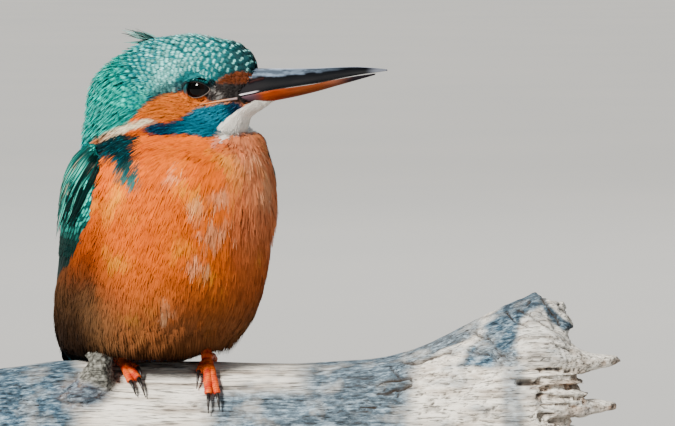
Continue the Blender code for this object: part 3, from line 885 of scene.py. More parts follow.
class Marks:
    """Outlines of the markings: forward and up in the head's frame, on either side."""

    EAR = (
        (5.4, -2.0), (0.8, -2.2), (-2.5, -0.7), (-5.7, 0.5), (-10.3, -1.4), (-13.2, -3.7), (-14.5, -6.0),
        (-9.8, -7.4), (-5.5, -7.4), (-3.6, -5.6), (-1.0, -3.6),
    )
    STRIPE = (
        (-8.5, -7.6), (-12.0, -7.2), (-16.0, -8.5), (-19.5, -10.0), (-25.5, -12.9), (-28.5, -15.8),
        (-25.5, -14.6), (-19.5, -12.0), (-16.0, -10.7), (-12.0, -9.2),
    )
    MALAR = (
        (9.6, -2.2), (4.5, -2.6), (-1.2, -3.7), (-3.9, -6.4), (-5.6, -7.9), (-9.4, -8.1), (-11.8, -9.8),
        (-9.4, -11.4), (-3.6, -11.0), (-0.6, -10.8), (1.2, -11.8), (3.9, -11.5), (5.2, -8.9), (7.8, -5.8),
        (10.2, -4.0),
    )
    THROAT = (
        (19.0, -1.2), (10.0, -3.6), (8.2, -5.4), (5.4, -8.6), (4.0, -10.8), (4.8, -12.0), (6.0, -14.2),
        (6.8, -12.4), (8.2, -10.6), (10.8, -7.2), (19.0, -4.5),
    )
    LORAL = ((4.8, 3.0), (6.2, 4.6), (8.2, 5.4), (11.5, 5.7), (12.4, 4.4), (11.3, 2.6), (8.2, 2.7))
    CORNER = ((1.4, 1.0), (1.8, 3.3), (3.4, 3.8), (4.5, 3.0), (4.2, 1.9), (3.0, 1.0))
    LORES = ((1.4, 0.2), (3.4, 3.2), (6.4, 3.2), (13.0, 2.8), (13.0, -2.6), (7.2, -2.2), (2.6, -2.0))
    BEHIND_EYE = ((-2.0, 0.0), (-2.8, 3.2), (-7.0, 2.9), (-13.0, -0.6), (-12.0, -2.2), (-6.0, 0.4))
    # Where the blue-green of crown and nape ends below, from the forehead to the mantle.
    CAP = (
        (-40, -26), (-27, -15.2), (-19.5, -10.6), (-15.6, -8.8), (-14.2, -5.2), (-10.3, -1.0), (-5.7, 0.9),
        (-2.5, 0.3), (3.0, 2.2), (7.0, 5.0), (14.0, 5.2),
    )
    # The dark patch beside the breast: degrees from the front of the body and height.
    WEDGE = (
        (104, 54.0), (104, 62.0), (84, 62.0), (68, 61.5), (52, 58.5), (46, 54.0), (43, 45.0), (51, 48.5),
        (60, 52.0), (76, 53.0),
    )
    # Pale feather tips on the breast: across and up from the perch, half width and half height.
    PALE = (
        (22.1, 51.5, 2.8, 1.8), (24.0, 45.0, 1.8, 3.4), (13.5, 42.5, 3.4, 1.5), (7.0, 41.2, 2.0, 2.0),
        (12.5, 34.5, 3.8, 2.2), (7.7, 26.5, 2.2, 2.6), (2.6, 48.0, 2.4, 1.8), (0.5, 15.0, 1.4, 2.0),
    )


def round_of(body: Array, middle: float = -3.0) -> Array:
    """Degrees round the body from its front, on either side, seen from a middle on its own X."""
    return np.degrees(np.arctan2(np.abs(body[:, 1]), body[:, 0] - middle))


def flank_edge(height: Array) -> Array:
    """Degrees from the front of the body to where orange flank meets dark back, by height."""
    return np.interp(height, (0, 14, 24, 34, 46, 60), (150, 144, 128, 110, 95, 88))


def underparts(points: Array, body: Array, ragged: Array) -> Array:
    """Breast, flanks and belly: orange, darker towards the back and the legs, with painted shade on the
    sides, the lower belly and the side turned from the light.

    Args:
        points: Places on the bird, in mm.
        body: The same places in the body's frame.
        ragged: Noise that makes the edges uneven.

    Returns:
        A colour for each place.
    """
    round_body, height = round_of(body), body[:, 2]
    uneven = round_body + 4 * ragged
    patchy = layered(points, 7.0, 3, 11)
    # Painted shade on the lower part of the bird's left side, which is turned from the light.
    low_left = rise(26, 56, round_body) * rise(48, 22, height) * rise(0, 6, body[:, 1])
    colour = mix(Ink.BREAST, Ink.BREAST_PALE, rise(0.05, 0.5, patchy))
    layers = (
        (Ink.BREAST_DEEP, 0.6 * rise(0.0, -0.45, patchy)),
        # Painted shade: the sides of the breast darker where the body turns from the light.
        (Ink.BREAST_DEEP, 0.8 * rise(54, 82, uneven) * rise(54, 42, height)),
        # Painted shade on the lower flanks and under the body; the belly ink is partly the belly's own duller
        # colour and partly painted shade.
        (Ink.FLANK_SHADE, 0.96 * rise(44, 82, uneven) * rise(44, 16, height)),
        (Ink.FLANK_SHADE, 0.5 * low_left),
        (Ink.BELLY_AND_SHADE, 0.85 * rise(30, 8, height)),
        (Ink.FLANK_SHADE * 0.6, 0.85 * rise(9, 0, height)),
        (Ink.FLANK_SHADE * 0.35, 0.9 * rise(66, 100, uneven) * rise(25, 8, height)),
    )
    for ink, share in layers:
        colour = mix(colour, ink, share)
    # The lower breast is dimmed as painted shade.
    return colour * (1 - 0.2 * rise(50, 34, height))[:, None]


def flecks(points: Array, height: Array) -> Array:
    """Where the breast has pale feather tips.

    Args:
        points: Places on the bird, in mm.
        height: Their heights over the perch.

    Returns:
        A share for each place.
    """
    away = np.min([np.hypot((points[:, 0] - BIRD[0] - at) / wide, (height - up) / tall)
                   for at, up, wide, tall in Marks.PALE], axis=0)
    tip = rise(1.5, 0.3, away + 1.5 * layered(points, (1.0, 1.0, 2.4), 2, 29))
    return tip * rise(8, 2, points[:, 1] - BIRD[1])


def with_face(colour: Array, points: Array, ragged: Array) -> Array:
    """The marks of face, throat and neck over the colour of the rest.

    Args:
        colour: The colour of each place so far.
        points: The places, in mm.
        ragged: Noise that makes the edges uneven.

    Returns:
        A colour for each place.
    """
    head = HEAD.local(points)
    x, z = head[:, 0] + ragged, head[:, 2] + 0.7 * ragged
    near_head = rise(50, 54, BODY.local(points)[:, 2])
    on_side = np.abs(head[:, 1]) > 2.2
    layers = (
        (Marks.THROAT, Ink.THROAT, 0.5), (Marks.STRIPE, Ink.STRIPE, 0.5), (Marks.MALAR, Ink.MALAR, 0.4),
        (Marks.EAR, Ink.EAR, 0.4), (Marks.BEHIND_EYE, Ink.SLATE * 1.8, 0.6), (Marks.LORES, Ink.LORES, 0.4),
        (Marks.LORAL, Ink.LORAL, 0.4), (Marks.CORNER, Ink.SLATE * 0.25, 0.3),
    )
    for outline, ink, soft in layers:
        shown = within(outline, x, z, soft) * near_head * (on_side | (outline is Marks.THROAT))
        if outline is Marks.MALAR:
            ink = mix(ink, Ink.MALAR_DARK, np.maximum(rise(-1.0, -6.5, x), rise(4.6, 7.4, x)))
        if outline is Marks.STRIPE:
            ink = mix(ink, Ink.STRIPE_END, rise(-17, -24, x))
        if outline is Marks.LORES:
            fluff = rise(0.15, 0.45, noise(points, 0.8, 37)) * rise(1.6, 3.6, x) * rise(6.6, 4.6, x)
            ink = mix(mix(ink, ink * 0.3, rise(4.5, 9.0, x)), Ink.FLUFF, 0.7 * fluff)
        colour = mix(colour, ink, shown * (0.9 if outline is Marks.BEHIND_EYE else 1.0))
    chin = rise(2.6, 1.8, np.abs(head[:, 1])) * rise(3.0, 6.0, x) * rise(-0.5, -2.0, z) * rise(-10.5, -9, z)
    return mix(colour, Ink.THROAT, chin)


def markings(points: Array) -> Array:
    """The plumage colour at each place.

    Args:
        points: Places on the bird, in mm.

    Returns:
        A linear colour for each.
    """
    ragged = 0.5 * noise(points, 1.3, 3) + 0.4 * noise(points, 3.1, 4)
    head, body = HEAD.local(points), BODY.local(points)
    x, z = head[:, 0] + ragged, head[:, 2] + 0.7 * ragged
    round_body, height = round_of(body), body[:, 2]
    behind = rise(-4, 5, round_body + 2 * ragged - flank_edge(height))
    mantle = mix(Ink.MANTLE, Ink.SLATE * 0.3, rise(18, 8, height))
    mantle = mix(mantle, Ink.AZURE, rise(9.5, 6.5, np.abs(body[:, 1]) + ragged))
    colour = mix(underparts(points, body, ragged), mantle, behind * rise(64, 58, height))
    wedge = within(Marks.WEDGE, round_body + 3 * ragged, height + ragged, 1.2)
    colour = mix(colour, mix(Ink.SIDE_PATCH, Ink.SIDE_TIP, 0.7 * rise(53, 46.5, height)), wedge)
    orange = (1 - behind) * (1 - wedge)
    rosy = rise(-3, 9, body[:, 1]) * rise(12, 46, height)
    colour = mix(colour, Ink.ROSY, 0.8 * rosy * orange)
    colour = mix(colour, Ink.BREAST_PINK, 0.38 * flecks(points, height) * orange)
    cap = mix(Ink.CROWN, Ink.NAPE, rise(-14, -22, x + 0.5 * z))
    cap = mix(cap, Ink.SLATE, 0.88 * rise(0.5, 9.5, x))
    cap = mix(cap, mantle, rise(60, 54, height))
    low_edge = np.interp(x, *np.array(Marks.CAP).T)
    colour = mix(colour, cap, rise(-0.4, 0.4, z - low_edge) * rise(48, 56, height))
    return with_face(colour, points, ragged)


# ---------------------------------------------------------------------------------------------
# The skin, and what lies on it


def flow(points: Array) -> Array:
    """The lie of the feathers: back from the bill over the head, then down the body.

    Args:
        points: Places on the bird, in mm.

    Returns:
        A direction for each, not of any set length.
    """
    head, body = HEAD.local(points), BODY.local(points)
    back = unit(head - BILL_ROOT - np.array((4.0, 0.0, 0.0)))
    out = np.zeros_like(head)
    out[:, 0] = (head[:, 0] - EYE_PLACE[0]) / Eye.WIDE**2
    out[:, 2] = (head[:, 2] - EYE_PLACE[2]) / 2.05**2
    out = unit(out + 1e-6)
    inward = np.minimum(0.0, np.sum(back * out, axis=1)) * rise(2.6, 1.5, near_eye(head))
    away = HEAD.turned(unit(back - out * inward[:, None]))
    side = np.sign(body[:, 1]) * rise(0, 12, np.abs(body[:, 1]))
    fall = np.stack((np.full(len(points), -0.32), side * (0.22 * rise(12, 34, body[:, 2]) - 0.08),
                     np.full(len(points), -1.0)), axis=1)
    fall = BODY.turned(unit(fall))
    share = rise(20, 44, np.linalg.norm(head - BILL_ROOT, axis=1))
    return mix(away + 0.12 * fall, fall, share)


def tangent(directions: Array, normals: Array) -> Array:
    """Directions laid flat on a surface."""
    flat = directions - normals * np.sum(directions * normals, axis=1, keepdims=True)
    return unit(flat)


class Surface:
    """A mesh of quads to lay feathers on, in mm."""

    def __init__(self, thing: bpy.types.Object) -> None:
        """Reads an object's quads.

        Args:
            thing: An object that is unturned and at the origin.
        """
        mesh = thing.data
        self.points, normals = points_and_normals(mesh)
        corners = [tuple(face.vertices) for face in mesh.polygons]
        self.tree = BVHTree.FromPolygons(self.points.tolist(), corners)
        self.first = np.array([face[:3] for face in corners])
        self.normals = unit(normals[self.first].mean(axis=1))
        self.areas = np.array([face.area for face in mesh.polygons]) / MM**2
        self.middles = np.array([face.center for face in mesh.polygons]) / MM
        self.uv = None
        if mesh.uv_layers:
            loops = np.array([face.loop_start for face in mesh.polygons])
            flat = np.empty(len(mesh.loops) * 2)
            mesh.uv_layers[0].data.foreach_get("uv", flat)
            self.uv = flat.reshape(-1, 2)[loops[:, None] + np.arange(3)]

    def near(self, points: Array) -> tuple[Array, Array, Array]:
        """The nearest places on the surface, their normals and their faces."""
        found = [self.tree.find_nearest(Vector(point)) for point in points]
        faces = np.array([hit[2] for hit in found])
        return np.array([hit[0] for hit in found]), self.normals[faces], faces

    def unwrapped(self, points: Array, faces: Array) -> Array:
        """Where places on the surface lie on its UV map.

        Args:
            points: The places.
            faces: The face that each lies on.

        Returns:
            A place on the map for each.
        """
        corners = self.points[self.first[faces]]
        sides = corners[:, 1:] - corners[:, :1]
        away = points - corners[:, 0]
        a, b, c = (np.sum(sides[:, i] * sides[:, j], axis=1) for i, j in ((0, 0), (0, 1), (1, 1)))
        d, e = (np.sum(away * sides[:, i], axis=1) for i in (0, 1))
        rest = np.maximum(a * c - b * b, 1e-9)
        s, t = np.clip((c * d - b * e) / rest, 0, 1), np.clip((a * e - b * d) / rest, 0, 1)
        uv = self.uv[faces]
        return uv[:, 0] + s[:, None] * (uv[:, 1] - uv[:, 0]) + t[:, None] * (uv[:, 2] - uv[:, 0])

    def scattered(self, spacing: float, where: Callable[[Array], Array], rng: Rng) -> Array:
        """Evenly spread places.

        Args:
            spacing: The least distance between two of them, in mm.
            where: Gives each place's chance of being used, from 0 to 1.
            rng: The random draws.

        Returns:
            The places.
        """
        chance = self.areas * (where(self.middles) > 0)
        count = int(chance.sum() / spacing**2 * 3.2)
        faces = rng.choice(len(self.areas), count, p=chance / chance.sum())
        spots = self.middles[faces] + rng.normal(0, 0.25, (count, 3)) * np.sqrt(self.areas[faces])[:, None]
        spots = spots[rng.random(count) < where(spots)]
        taken: dict[tuple, list] = {}
        kept = []
        cells = np.floor(spots / spacing).astype(int).tolist()
        around = [(i, j, k) for i in (-1, 0, 1) for j in (-1, 0, 1) for k in (-1, 0, 1)]
        for spot, (i, j, k) in zip(spots.tolist(), cells):
            close = (other for a, b, c in around for other in taken.get((i + a, j + b, k + c), ()))
            if all(math.dist(spot, other) >= spacing for other in close):
                taken.setdefault((i, j, k), []).append(spot)
                kept.append(spot)
        return np.array(kept)


@dataclass
class Paths:
    """Where feathers run: places and normals, by feather and by station."""

    places: Array
    normals: Array
    uv: Array

    def picked(self, chosen: Array) -> "Paths":
        """Some of the feathers."""
        return Paths(self.places[chosen], self.normals[chosen], self.uv[chosen])


def laid(surface: Surface, roots: Array, lengths: Array, stations: int, rng: Rng, stray: float) -> Paths:
    """Runs feathers over a surface by the flow.

    Args:
        surface: What they lie on.
        roots: Where they start.
        lengths: How long each is, in mm.
        stations: Places along each.
        rng: The random draws.
        stray: How far they turn from the flow, in radians.

    Returns:
        Their paths.
    """
    place, normal, face = surface.near(roots)
    uv = surface.unwrapped(place, face)
    heading = tangent(flow(place), normal)
    turn = rng.normal(0, stray, len(place))[:, None]
    heading = heading * np.cos(turn) + np.cross(normal, heading) * np.sin(turn)
    places, normals = [place], [normal]
    step = (lengths / (stations - 1))[:, None]
    for _ in range(stations - 1):
        place, normal, _ = surface.near(place + heading * step)
        heading = tangent(0.6 * heading + 0.4 * tangent(flow(place), normal), normal)
        places.append(place)
        normals.append(normal)
    return Paths(np.stack(places, axis=1), np.stack(normals, axis=1), uv)


@dataclass(frozen=True)
class Form:
    """One feather, flat: along from 0 to 1, across from -1 to 1, and height, with its quads."""

    along: Array
    across: Array
    height: Array
    faces: Array
    strand: Array


def barbed(barbs: int, steps: int, round_tip: float, ragged: float, arch: float, rng: Rng,
           full: float = 1.15) -> Form:
    """A loose feather of separate barbs, each a thin ribbon that tapers to its tip.

    Args:
        barbs: How many barbs.
        steps: Quads along each.
        round_tip: How far the outer barbs fall short of the middle one, as a share of the length.
        ragged: How far barbs fall short at random.
        arch: How far the outer barbs hang below the middle, as a share of the half width.
        rng: The random draws.
        full: The barbs' widths together, as a share of the feather's half width.

    Returns:
        The flat feather.
    """
    along, across, height, strand, faces = [], [], [], [], []
    t = np.linspace(0, 1, steps + 1)
    for k in range(barbs):
        q = (2 * (k + 0.5) / barbs - 1) + rng.normal(0, 0.25 / barbs)
        start = 0.45 * (1 - abs(q)) * rng.uniform(0.5, 1.0)
        end = 1 - round_tip * q * q - ragged * rng.random()
        run = start + (end - start) * t
        out = q * (0.25 + 0.75 * t**0.8) + 0.08 * rng.normal() * t
        half = (full / barbs) * (1 - 0.8 * t**1.5)
        base = 2 * (steps + 1) * k
        along.append(np.repeat(run, 2))
        across.append(np.stack((out - half, out + half), axis=1).ravel())
        twist = rng.normal(0, 0.17 * arch) / full
        level = -arch * out**2 + 0.17 * arch * rng.normal() / full
        height.append(np.stack((level - twist, level + twist), axis=1).ravel())
        strand.append(np.full(2 * (steps + 1), rng.normal()))
        faces.append(grid_faces(steps + 1, 2, base))
    return Form(*(np.concatenate(part) for part in (along, across, height, faces, strand)))


def vaned(columns: int, rows: int, waist: float, point: float, arch: float) -> Form:
    """A firm feather in one sheet, narrow at its root, with a raised shaft.

    Args:
        columns: Points across.
        rows: Points along.
        waist: The width at the root, as a share.
        point: How pointed the tip is, from 0.3, blunt, to 1.
        arch: How far the edges hang below the shaft, as a share of the half width.

    Returns:
        The flat feather.
    """
    along = np.linspace(0, 1, rows)
    wide = (waist + (1 - waist) * rise(0, 0.45, along)) * np.clip(1 - along**5, 0, 1) ** point
    side = np.linspace(-1, 1, columns)
    u = np.repeat(along, columns) - 0.06 * np.tile(side**2, rows) * rise(0.5, 1, np.repeat(along, columns))
    v = np.outer(wide, side).ravel()
    shaft = 0.10 * np.exp(-((np.tile(side, rows) / 0.12) ** 2)) * (1 - np.repeat(along, columns))
    return Form(u, v, shaft - arch * np.tile(side**2, rows) * np.repeat(wide, columns),
                grid_faces(rows, columns), np.zeros(rows * columns))


class Pattern(Enum):
    """What each feather shows beyond its own colour."""

    PLAIN = "plain"
    BARRED = "barred"
    HAIR = "hair"
    SPOTTED = "spotted"
    EDGED = "edged"
    FLIGHT = "flight"


def patterned(pattern: Pattern, base: Array, tip: Array, form: Form, rng: Rng, shade: float = 0.35,
              variety: float = 0.09, front: Array | float = 0.0) -> Array:
    """Colours for each feather's every point.

    Args:
        pattern: What the feathers show.
        base: A colour for each feather.
        tip: The colour of spots, edges or tips, for each feather.
        form: The feather's shape.
        rng: The random draws.
        shade: How bright the feathers' roots are, as a share of the rest: painted shade where they lie under
            other feathers.
        variety: How much the feathers differ in tone.
        front: 1 where a spot is a bar right across the feather, and 0 where it is round.

    Returns:
        A linear colour by feather and by point.
    """
    u, v = form.along[None], np.abs(form.across)[None]
    front = np.broadcast_to(front, len(base))[:, None]
    count = len(base)
    tone = 1 + variety * (1.1 * rng.normal(size=(count, 1)) + form.strand[None])
    shown = {
        Pattern.PLAIN: 0.55 * rise(0.72, 1.0, u) * (0.6 + 0.4 * form.strand[None]) + 0 * v,
        Pattern.HAIR: rise(0.5, 1.0, u) * (form.strand[None] > 0.35),
        Pattern.BARRED: (rise(0.60, 0.67, u) * rise(0.95 - 0.10 * front, 0.88 - 0.10 * front, u)
                         * rise(0.90 + 0.5 * front, 0.66 + 0.5 * front, v)),
        Pattern.SPOTTED: rise(0.62, 0.74, u) * rise(0.97, 0.88, u) * rise(0.50, 0.25, v),
        Pattern.EDGED: rise(0.45, 0.8, v + 0.25 * u) * rise(0.3, 0.55, u),
        Pattern.FLIGHT: rise(0.12, 0.3, form.across[None]) * rise(1.0, 0.85, u),
    }[pattern]
    # Painted shade: each feather is darker towards its root, which lies under the others.
    root = rise(0.05, 0.4, u)[..., None]
    colour = base[:, None] * (shade + (1 - shade) * root)
    colour = colour * (1 - shown[..., None]) + tip[:, None] * shown[..., None]
    return colour * np.clip(tone, 0.6, 1.4)[..., None]


@dataclass
class Feathers:
    """Feathers of one kind, ready to be written as joined meshes."""

    name: str
    slot: str
    finish: Finishes
    replaced: tuple[str, ...] = ()
    parts: list = field(default_factory=list)

    def add(self, paths: Paths, form: Form, width: Array | float, lift: tuple, colours: Array,
            roll: Array | float = 0.0) -> None:
        """Bends one form along each path.

        Args:
            paths: Where the feathers run.
            form: The flat feather.
            width: Half the width of each feather, in mm.
            lift: Heights over the surface at root and tip, each in mm, one or for each feather.
            colours: A colour for each feather's every point.
            roll: How far each side tips up, in radians.
        """
        count, stations = paths.places.shape[:2]
        at = np.clip(form.along, 0, 1) * (stations - 1)
        low = np.minimum(at.astype(int), stations - 2)
        share = (at - low)[None, :, None]
        along = unit(np.gradient(paths.places, axis=1))
        side = unit(np.cross(paths.normals, along))

        def read(rows: Array) -> Array:
            return rows[:, low] * (1 - share) + rows[:, low + 1] * share

        root, tip = (np.broadcast_to(np.asarray(value, dtype=float), count)[:, None] for value in lift)
        width = np.broadcast_to(np.asarray(width, dtype=float), count)[:, None]
        across = form.across[None] * width
        level = root + (tip - root) * form.along[None] ** 0.9 + form.height[None] * width
        level = level + np.broadcast_to(roll, count)[:, None] * across
        points = read(paths.places) + read(side) * across[..., None] + read(paths.normals) * level[..., None]
        local = np.stack((form.across, form.along), axis=1)
        patch = paths.uv[:, None] + (local * (0.5, 1.0))[None] * PATCH
        vane = np.broadcast_to(local, (count, len(local), 2))
        self.parts.append((points, form.faces, colours, patch, vane))

    def write(self) -> None:
        """Writes the feathers, in as many meshes as their number asks for."""
        pieces, held = [[]], 0
        for points, faces, colours, patch, vane in self.parts:
            most = max(1, MOST_TRIANGLES // (2 * len(faces)))
            start = 0
            while start < len(points):
                room = max(1, most - held // (2 * len(faces)))
                if held and room <= 1:
                    pieces.append([])
                    held = 0
                    continue
                stop = min(len(points), start + room)
                pieces[-1].append(tuple(rows[start:stop] if k != 1 else rows for k, rows in
                                        enumerate((points, faces, colours, patch, vane))))
                held += (stop - start) * 2 * len(faces)
                start = stop
        for number, piece in enumerate(filter(None, pieces)):
            self._write_one(piece, number, len(pieces))

    def _write_one(self, piece: list, number: int, total: int) -> None:
        """Writes one mesh.

        Args:
            piece: What it holds: points, quads, colours, patches and vanes of each batch.
            number: Its number, from 0.
            total: How many meshes there are.
        """
        points, colours, patch, vane, faces, start = [], [], [], [], [], 0
        for places, quads, shades, spots, local in piece:
            count, size = places.shape[:2]
            faces.append((quads[None] + start + np.arange(count)[:, None, None] * size).reshape(-1, 4))
            start += count * size
            points.append(places.reshape(-1, 3))
            colours.append(shades.reshape(-1, 3))
            patch.append(spots.reshape(-1, 2))
            vane.append(local.reshape(-1, 2))
        title = self.name if total == 1 else f"{self.name}_{number + 1}"
        thing = write_mesh(title, np.concatenate(points), np.concatenate(faces), np.concatenate(colours),
                           {"OFBake": np.concatenate(patch), "Vane": np.concatenate(vane)})
        settle(thing, self.replaced, self.finish)


def coat_depth(points: Array) -> Array:
    """How thick the plumage is, in mm: least round the bill and eyes."""
    head = HEAD.local(points)
    from_bill = np.linalg.norm(head - BILL_ROOT, axis=1)
    return 0.45 + 1.55 * rise(6, 36, from_bill)


@dataclass(frozen=True)
class Skin:
    """The one skin under the plumage, in place of head, neck, trunk and wings."""

    nodes: tuple[str, ...] = ("head", "neck", "trunk", "wing_left", "wing_right")
    # The solids overlap once they are swollen, and the same is taken off again.
    swell: float = 0.35
    weld: float = 0.01
    voxel: float = 0.7
    passes: int = 8
    # The greatest height of crown and nape, by the place forward in the head's frame.
    top_at: tuple[float, ...] = (-35, -32.5, -27, -18, -9, 0)
    top: tuple[float, ...] = (0, 5.6, 10.8, 14.4, 15.9, 16.4)
    under_top: float = 2.2

    def whole(self) -> bpy.types.Object:
        """Copies of the solids, grown into one mesh.

        Returns:
            The mesh as an object.
        """
        bpy.ops.object.select_all(action="DESELECT")
        copies = []
        for name in self.nodes:
            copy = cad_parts[name].copy()
            copy.data = copy.data.copy()
            bpy.context.scene.collection.objects.link(copy)
            copy.select_set(True)
            copies.append(copy)
        skin = copies[0]
        bpy.context.view_layer.objects.active = skin
        bpy.ops.object.join()
        skin.name = skin.data.name = "skin"
        for key in [key for key in skin.keys() if key.startswith("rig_")]:
            del skin[key]
        swell = skin.modifiers.new("Swell", "DISPLACE")
        swell.strength, swell.mid_level = self.swell * MM, 0
        skin.modifiers.new("Weld", "WELD").merge_threshold = self.weld * MM
        fuse(skin, self.voxel, self.passes)
        return skin

    def sunk(self, points: Array, normals: Array) -> Array:
        """Moves points in by the coat's depth, under the line of crown and nape.

        Args:
            points: Points of the swollen solids, in mm.
            normals: Their normals.

        Returns:
            The points of the skin.
        """
        head = HEAD.local(points)
        top = np.interp(head[:, 0], self.top_at, self.top)
        head[:, 2] = np.where(head[:, 0] < -9, np.minimum(head[:, 2], top), head[:, 2])
        points = HEAD.world(head)
        points = points - normals * (self.swell + coat_depth(points))[:, None]
        head = HEAD.local(points)
        top = top - self.under_top
        head[:, 2] = np.where((head[:, 0] < -12) & (head[:, 2] > top), top, head[:, 2])
        brow = rise(1.0, 5.5, head[:, 0]) * rise(13.5, 10.0, head[:, 0]) * rise(6.5, 10.0, head[:, 2])
        head += (brow * rise(6.5, 3.5, np.abs(head[:, 1])))[:, None] * (0.9, 0.0, 0.8)
        return HEAD.world(head)

    def build(self, wings: list["Wing"]) -> Surface:
        """Writes the skin.

        Args:
            wings: Both wings.

        Returns:
            The skin, ready for feathers.
        """
        skin = self.whole()
        points = self.sunk(*points_and_normals(skin.data))
        skin.data.vertices.foreach_set("co", (points * MM).ravel())
        relax(skin, self.passes)
        bpy.ops.object.mode_set(mode="EDIT")
        bpy.ops.mesh.select_all(action="SELECT")
        bpy.ops.uv.smart_project(angle_limit=math.radians(60), island_margin=0.004)
        bpy.ops.object.mode_set(mode="OBJECT")
        skin.data.uv_layers.active.name = "OFBake"
        paint_points(skin.data, mix(markings(points), Ink.WING * 0.5, under_wings(wings, points, 7.0)))
        skin.data.shade_smooth()
        settle(skin, self.nodes, Finishes.SKIN)
        return Surface(skin)


@dataclass(frozen=True)
class Plumes:
    """One region's loose feathers: their size in mm, how they are shaped, and where they grow."""

    name: str
    where: Callable[[Array], Array]
    spacing: float
    length: float
    width: float
    barbs: int
    steps: int
    round_tip: float
    ragged: float
    stray: float
    finish: Finishes
    slot: str
    pattern: Pattern = Pattern.PLAIN
    stations: int = 4
    shade: float = 0.5
    variety: float = 0.09
    flat: float = 0.15
    even: float = 0.78
    full: float = 1.15
    arch: float = 0.3
    beside_wings: bool = False
    kinds: int = 6

    def grow(self, skin: Surface, wings: list["Wing"], seed: int) -> None:
        """Writes the region's feathers.

        Args:
            skin: The skin that they lie on.
            wings: Both wings.
            seed: Picks the random draws.
        """
        rng = np.random.default_rng(seed)
        roots = skin.scattered(self.spacing, self.where, rng)
        lengths = self.length * rng.uniform(0.8, 1.15, len(roots))
        lengths *= 0.5 + 0.5 * rise(4, 30, np.linalg.norm(HEAD.local(roots) - BILL_ROOT, axis=1))
        paths = laid(skin, roots, lengths, self.stations, rng, self.stray)
        clear = off_eyes(paths)
        for station in (0, 1, -1) if self.beside_wings else ():
            clear &= under_wings(wings, paths.places[:, station], 5.0) == 0
        paths, lengths = paths.picked(clear), lengths[clear]
        reach_bill(paths)
        body = BODY.local(paths.places[:, 0])
        shoulder = rise(34, 44, body[:, 2]) * rise(63, 58, body[:, 2])
        shoulder = shoulder * rise(2, 9, body[:, 1]) * rise(105, 85, round_of(body))
        depth = coat_depth(paths.places[:, 0]) + 1.4 * shoulder
        coat = Feathers(self.name, self.slot, self.finish)
        base = markings(paths.places[:, -2])
        tips = tip_colours(base)
        kinds = rng.integers(0, self.kinds, len(base))
        for kind in range(self.kinds):
            chosen = kinds == kind
            form = barbed(self.barbs, self.steps, self.round_tip, self.ragged, self.arch, rng, self.full)
            colours = patterned(self.pattern, base[chosen], tips[chosen], form, rng, self.shade, self.variety)
            wide = self.width * (lengths[chosen] / self.length) ** 0.5
            lift = depth[chosen] * rng.uniform(self.even, 1.08, chosen.sum())
            coat.add(paths.picked(chosen), form, wide, (self.flat * depth[chosen], lift), colours,
                     rng.normal(0, 0.06, chosen.sum()))
        coat.write()


def near_eye(head: Array) -> Array:
    """How far places of the head's frame are from the nearer eye's middle: 1 on its lids' edge.

    Args:
        head: Places of the head's frame.

    Returns:
        A distance for each.
    """
    across, up = head[..., 0] - EYE_PLACE[0], head[..., 2] - EYE_PLACE[2]
    wide, tall = np.where(across > 0, Eye.AHEAD, Eye.WIDE), np.where(up > 0, Eye.ABOVE, Eye.BELOW)
    away = np.hypot(across / wide, up / tall)
    return np.where(np.abs(head[..., 1]) > 3, away, 99.0)


def off_eyes(paths: Paths) -> Array:
    """Which feathers stay clear of the eyes from root to tip."""
    return near_eye(HEAD.local(paths.places)).min(axis=1) > 1.06


def in_cap(points: Array) -> Array:
    """1 on the crown and nape."""
    head = HEAD.local(points)
    return (head[:, 2] > np.interp(head[:, 0], *np.array(Marks.CAP).T)).astype(float)


def on_face(points: Array) -> Array:
    """The short feathers between bill, eye and cheek."""
    head = HEAD.local(points)
    close = (head[:, 0] > -4.5) & (head[:, 2] > -4.5) & (head[:, 2] < 6.5) & (head[:, 0] < 13.2)
    return close * (near_eye(head) > 1.05) * 1.0


def on_crown(points: Array) -> Array:
    """The crown, laid in rows."""
    head = HEAD.local(points)
    return in_cap(points) * (head[:, 0] > -26) * (near_eye(head) > 1.1)


def on_nape(points: Array) -> Array:
    """The nape and the back of the neck."""
    head, body = HEAD.local(points), BODY.local(points)
    return in_cap(points) * (head[:, 0] < -9) * (body[:, 2] > 52)


def on_cheek(points: Array) -> Array:
    """Ear coverts, moustache, throat and the stripe beside the neck.

    Args:
        points: Places on the bird, in mm.

    Returns:
        1 where they grow and 0 elsewhere.
    """
    head, body = HEAD.local(points), BODY.local(points)
    low = 1 - in_cap(points)
    reach = (body[:, 2] > 55) & (head[:, 0] < 13.5)
    return low * reach * (near_eye(head) > 1.15)


def on_breast(points: Array) -> Array:
    """Breast, flanks and belly."""
    body = BODY.local(points)
    return ((body[:, 2] < 59) & (round_of(body) < flank_edge(body[:, 2]) + 8)) * 1.0


def on_belly(points: Array) -> Array:
    """The lowest part of the belly, over the legs."""
    height = BODY.local(points)[:, 2]
    return (height < 18) * (height > 2.5) * on_breast(points)


def on_back(points: Array) -> Array:
    """Mantle, back and rump."""
    body = BODY.local(points)
    return ((body[:, 2] < 58) & (round_of(body) > flank_edge(body[:, 2]) + 4)) * 1.0


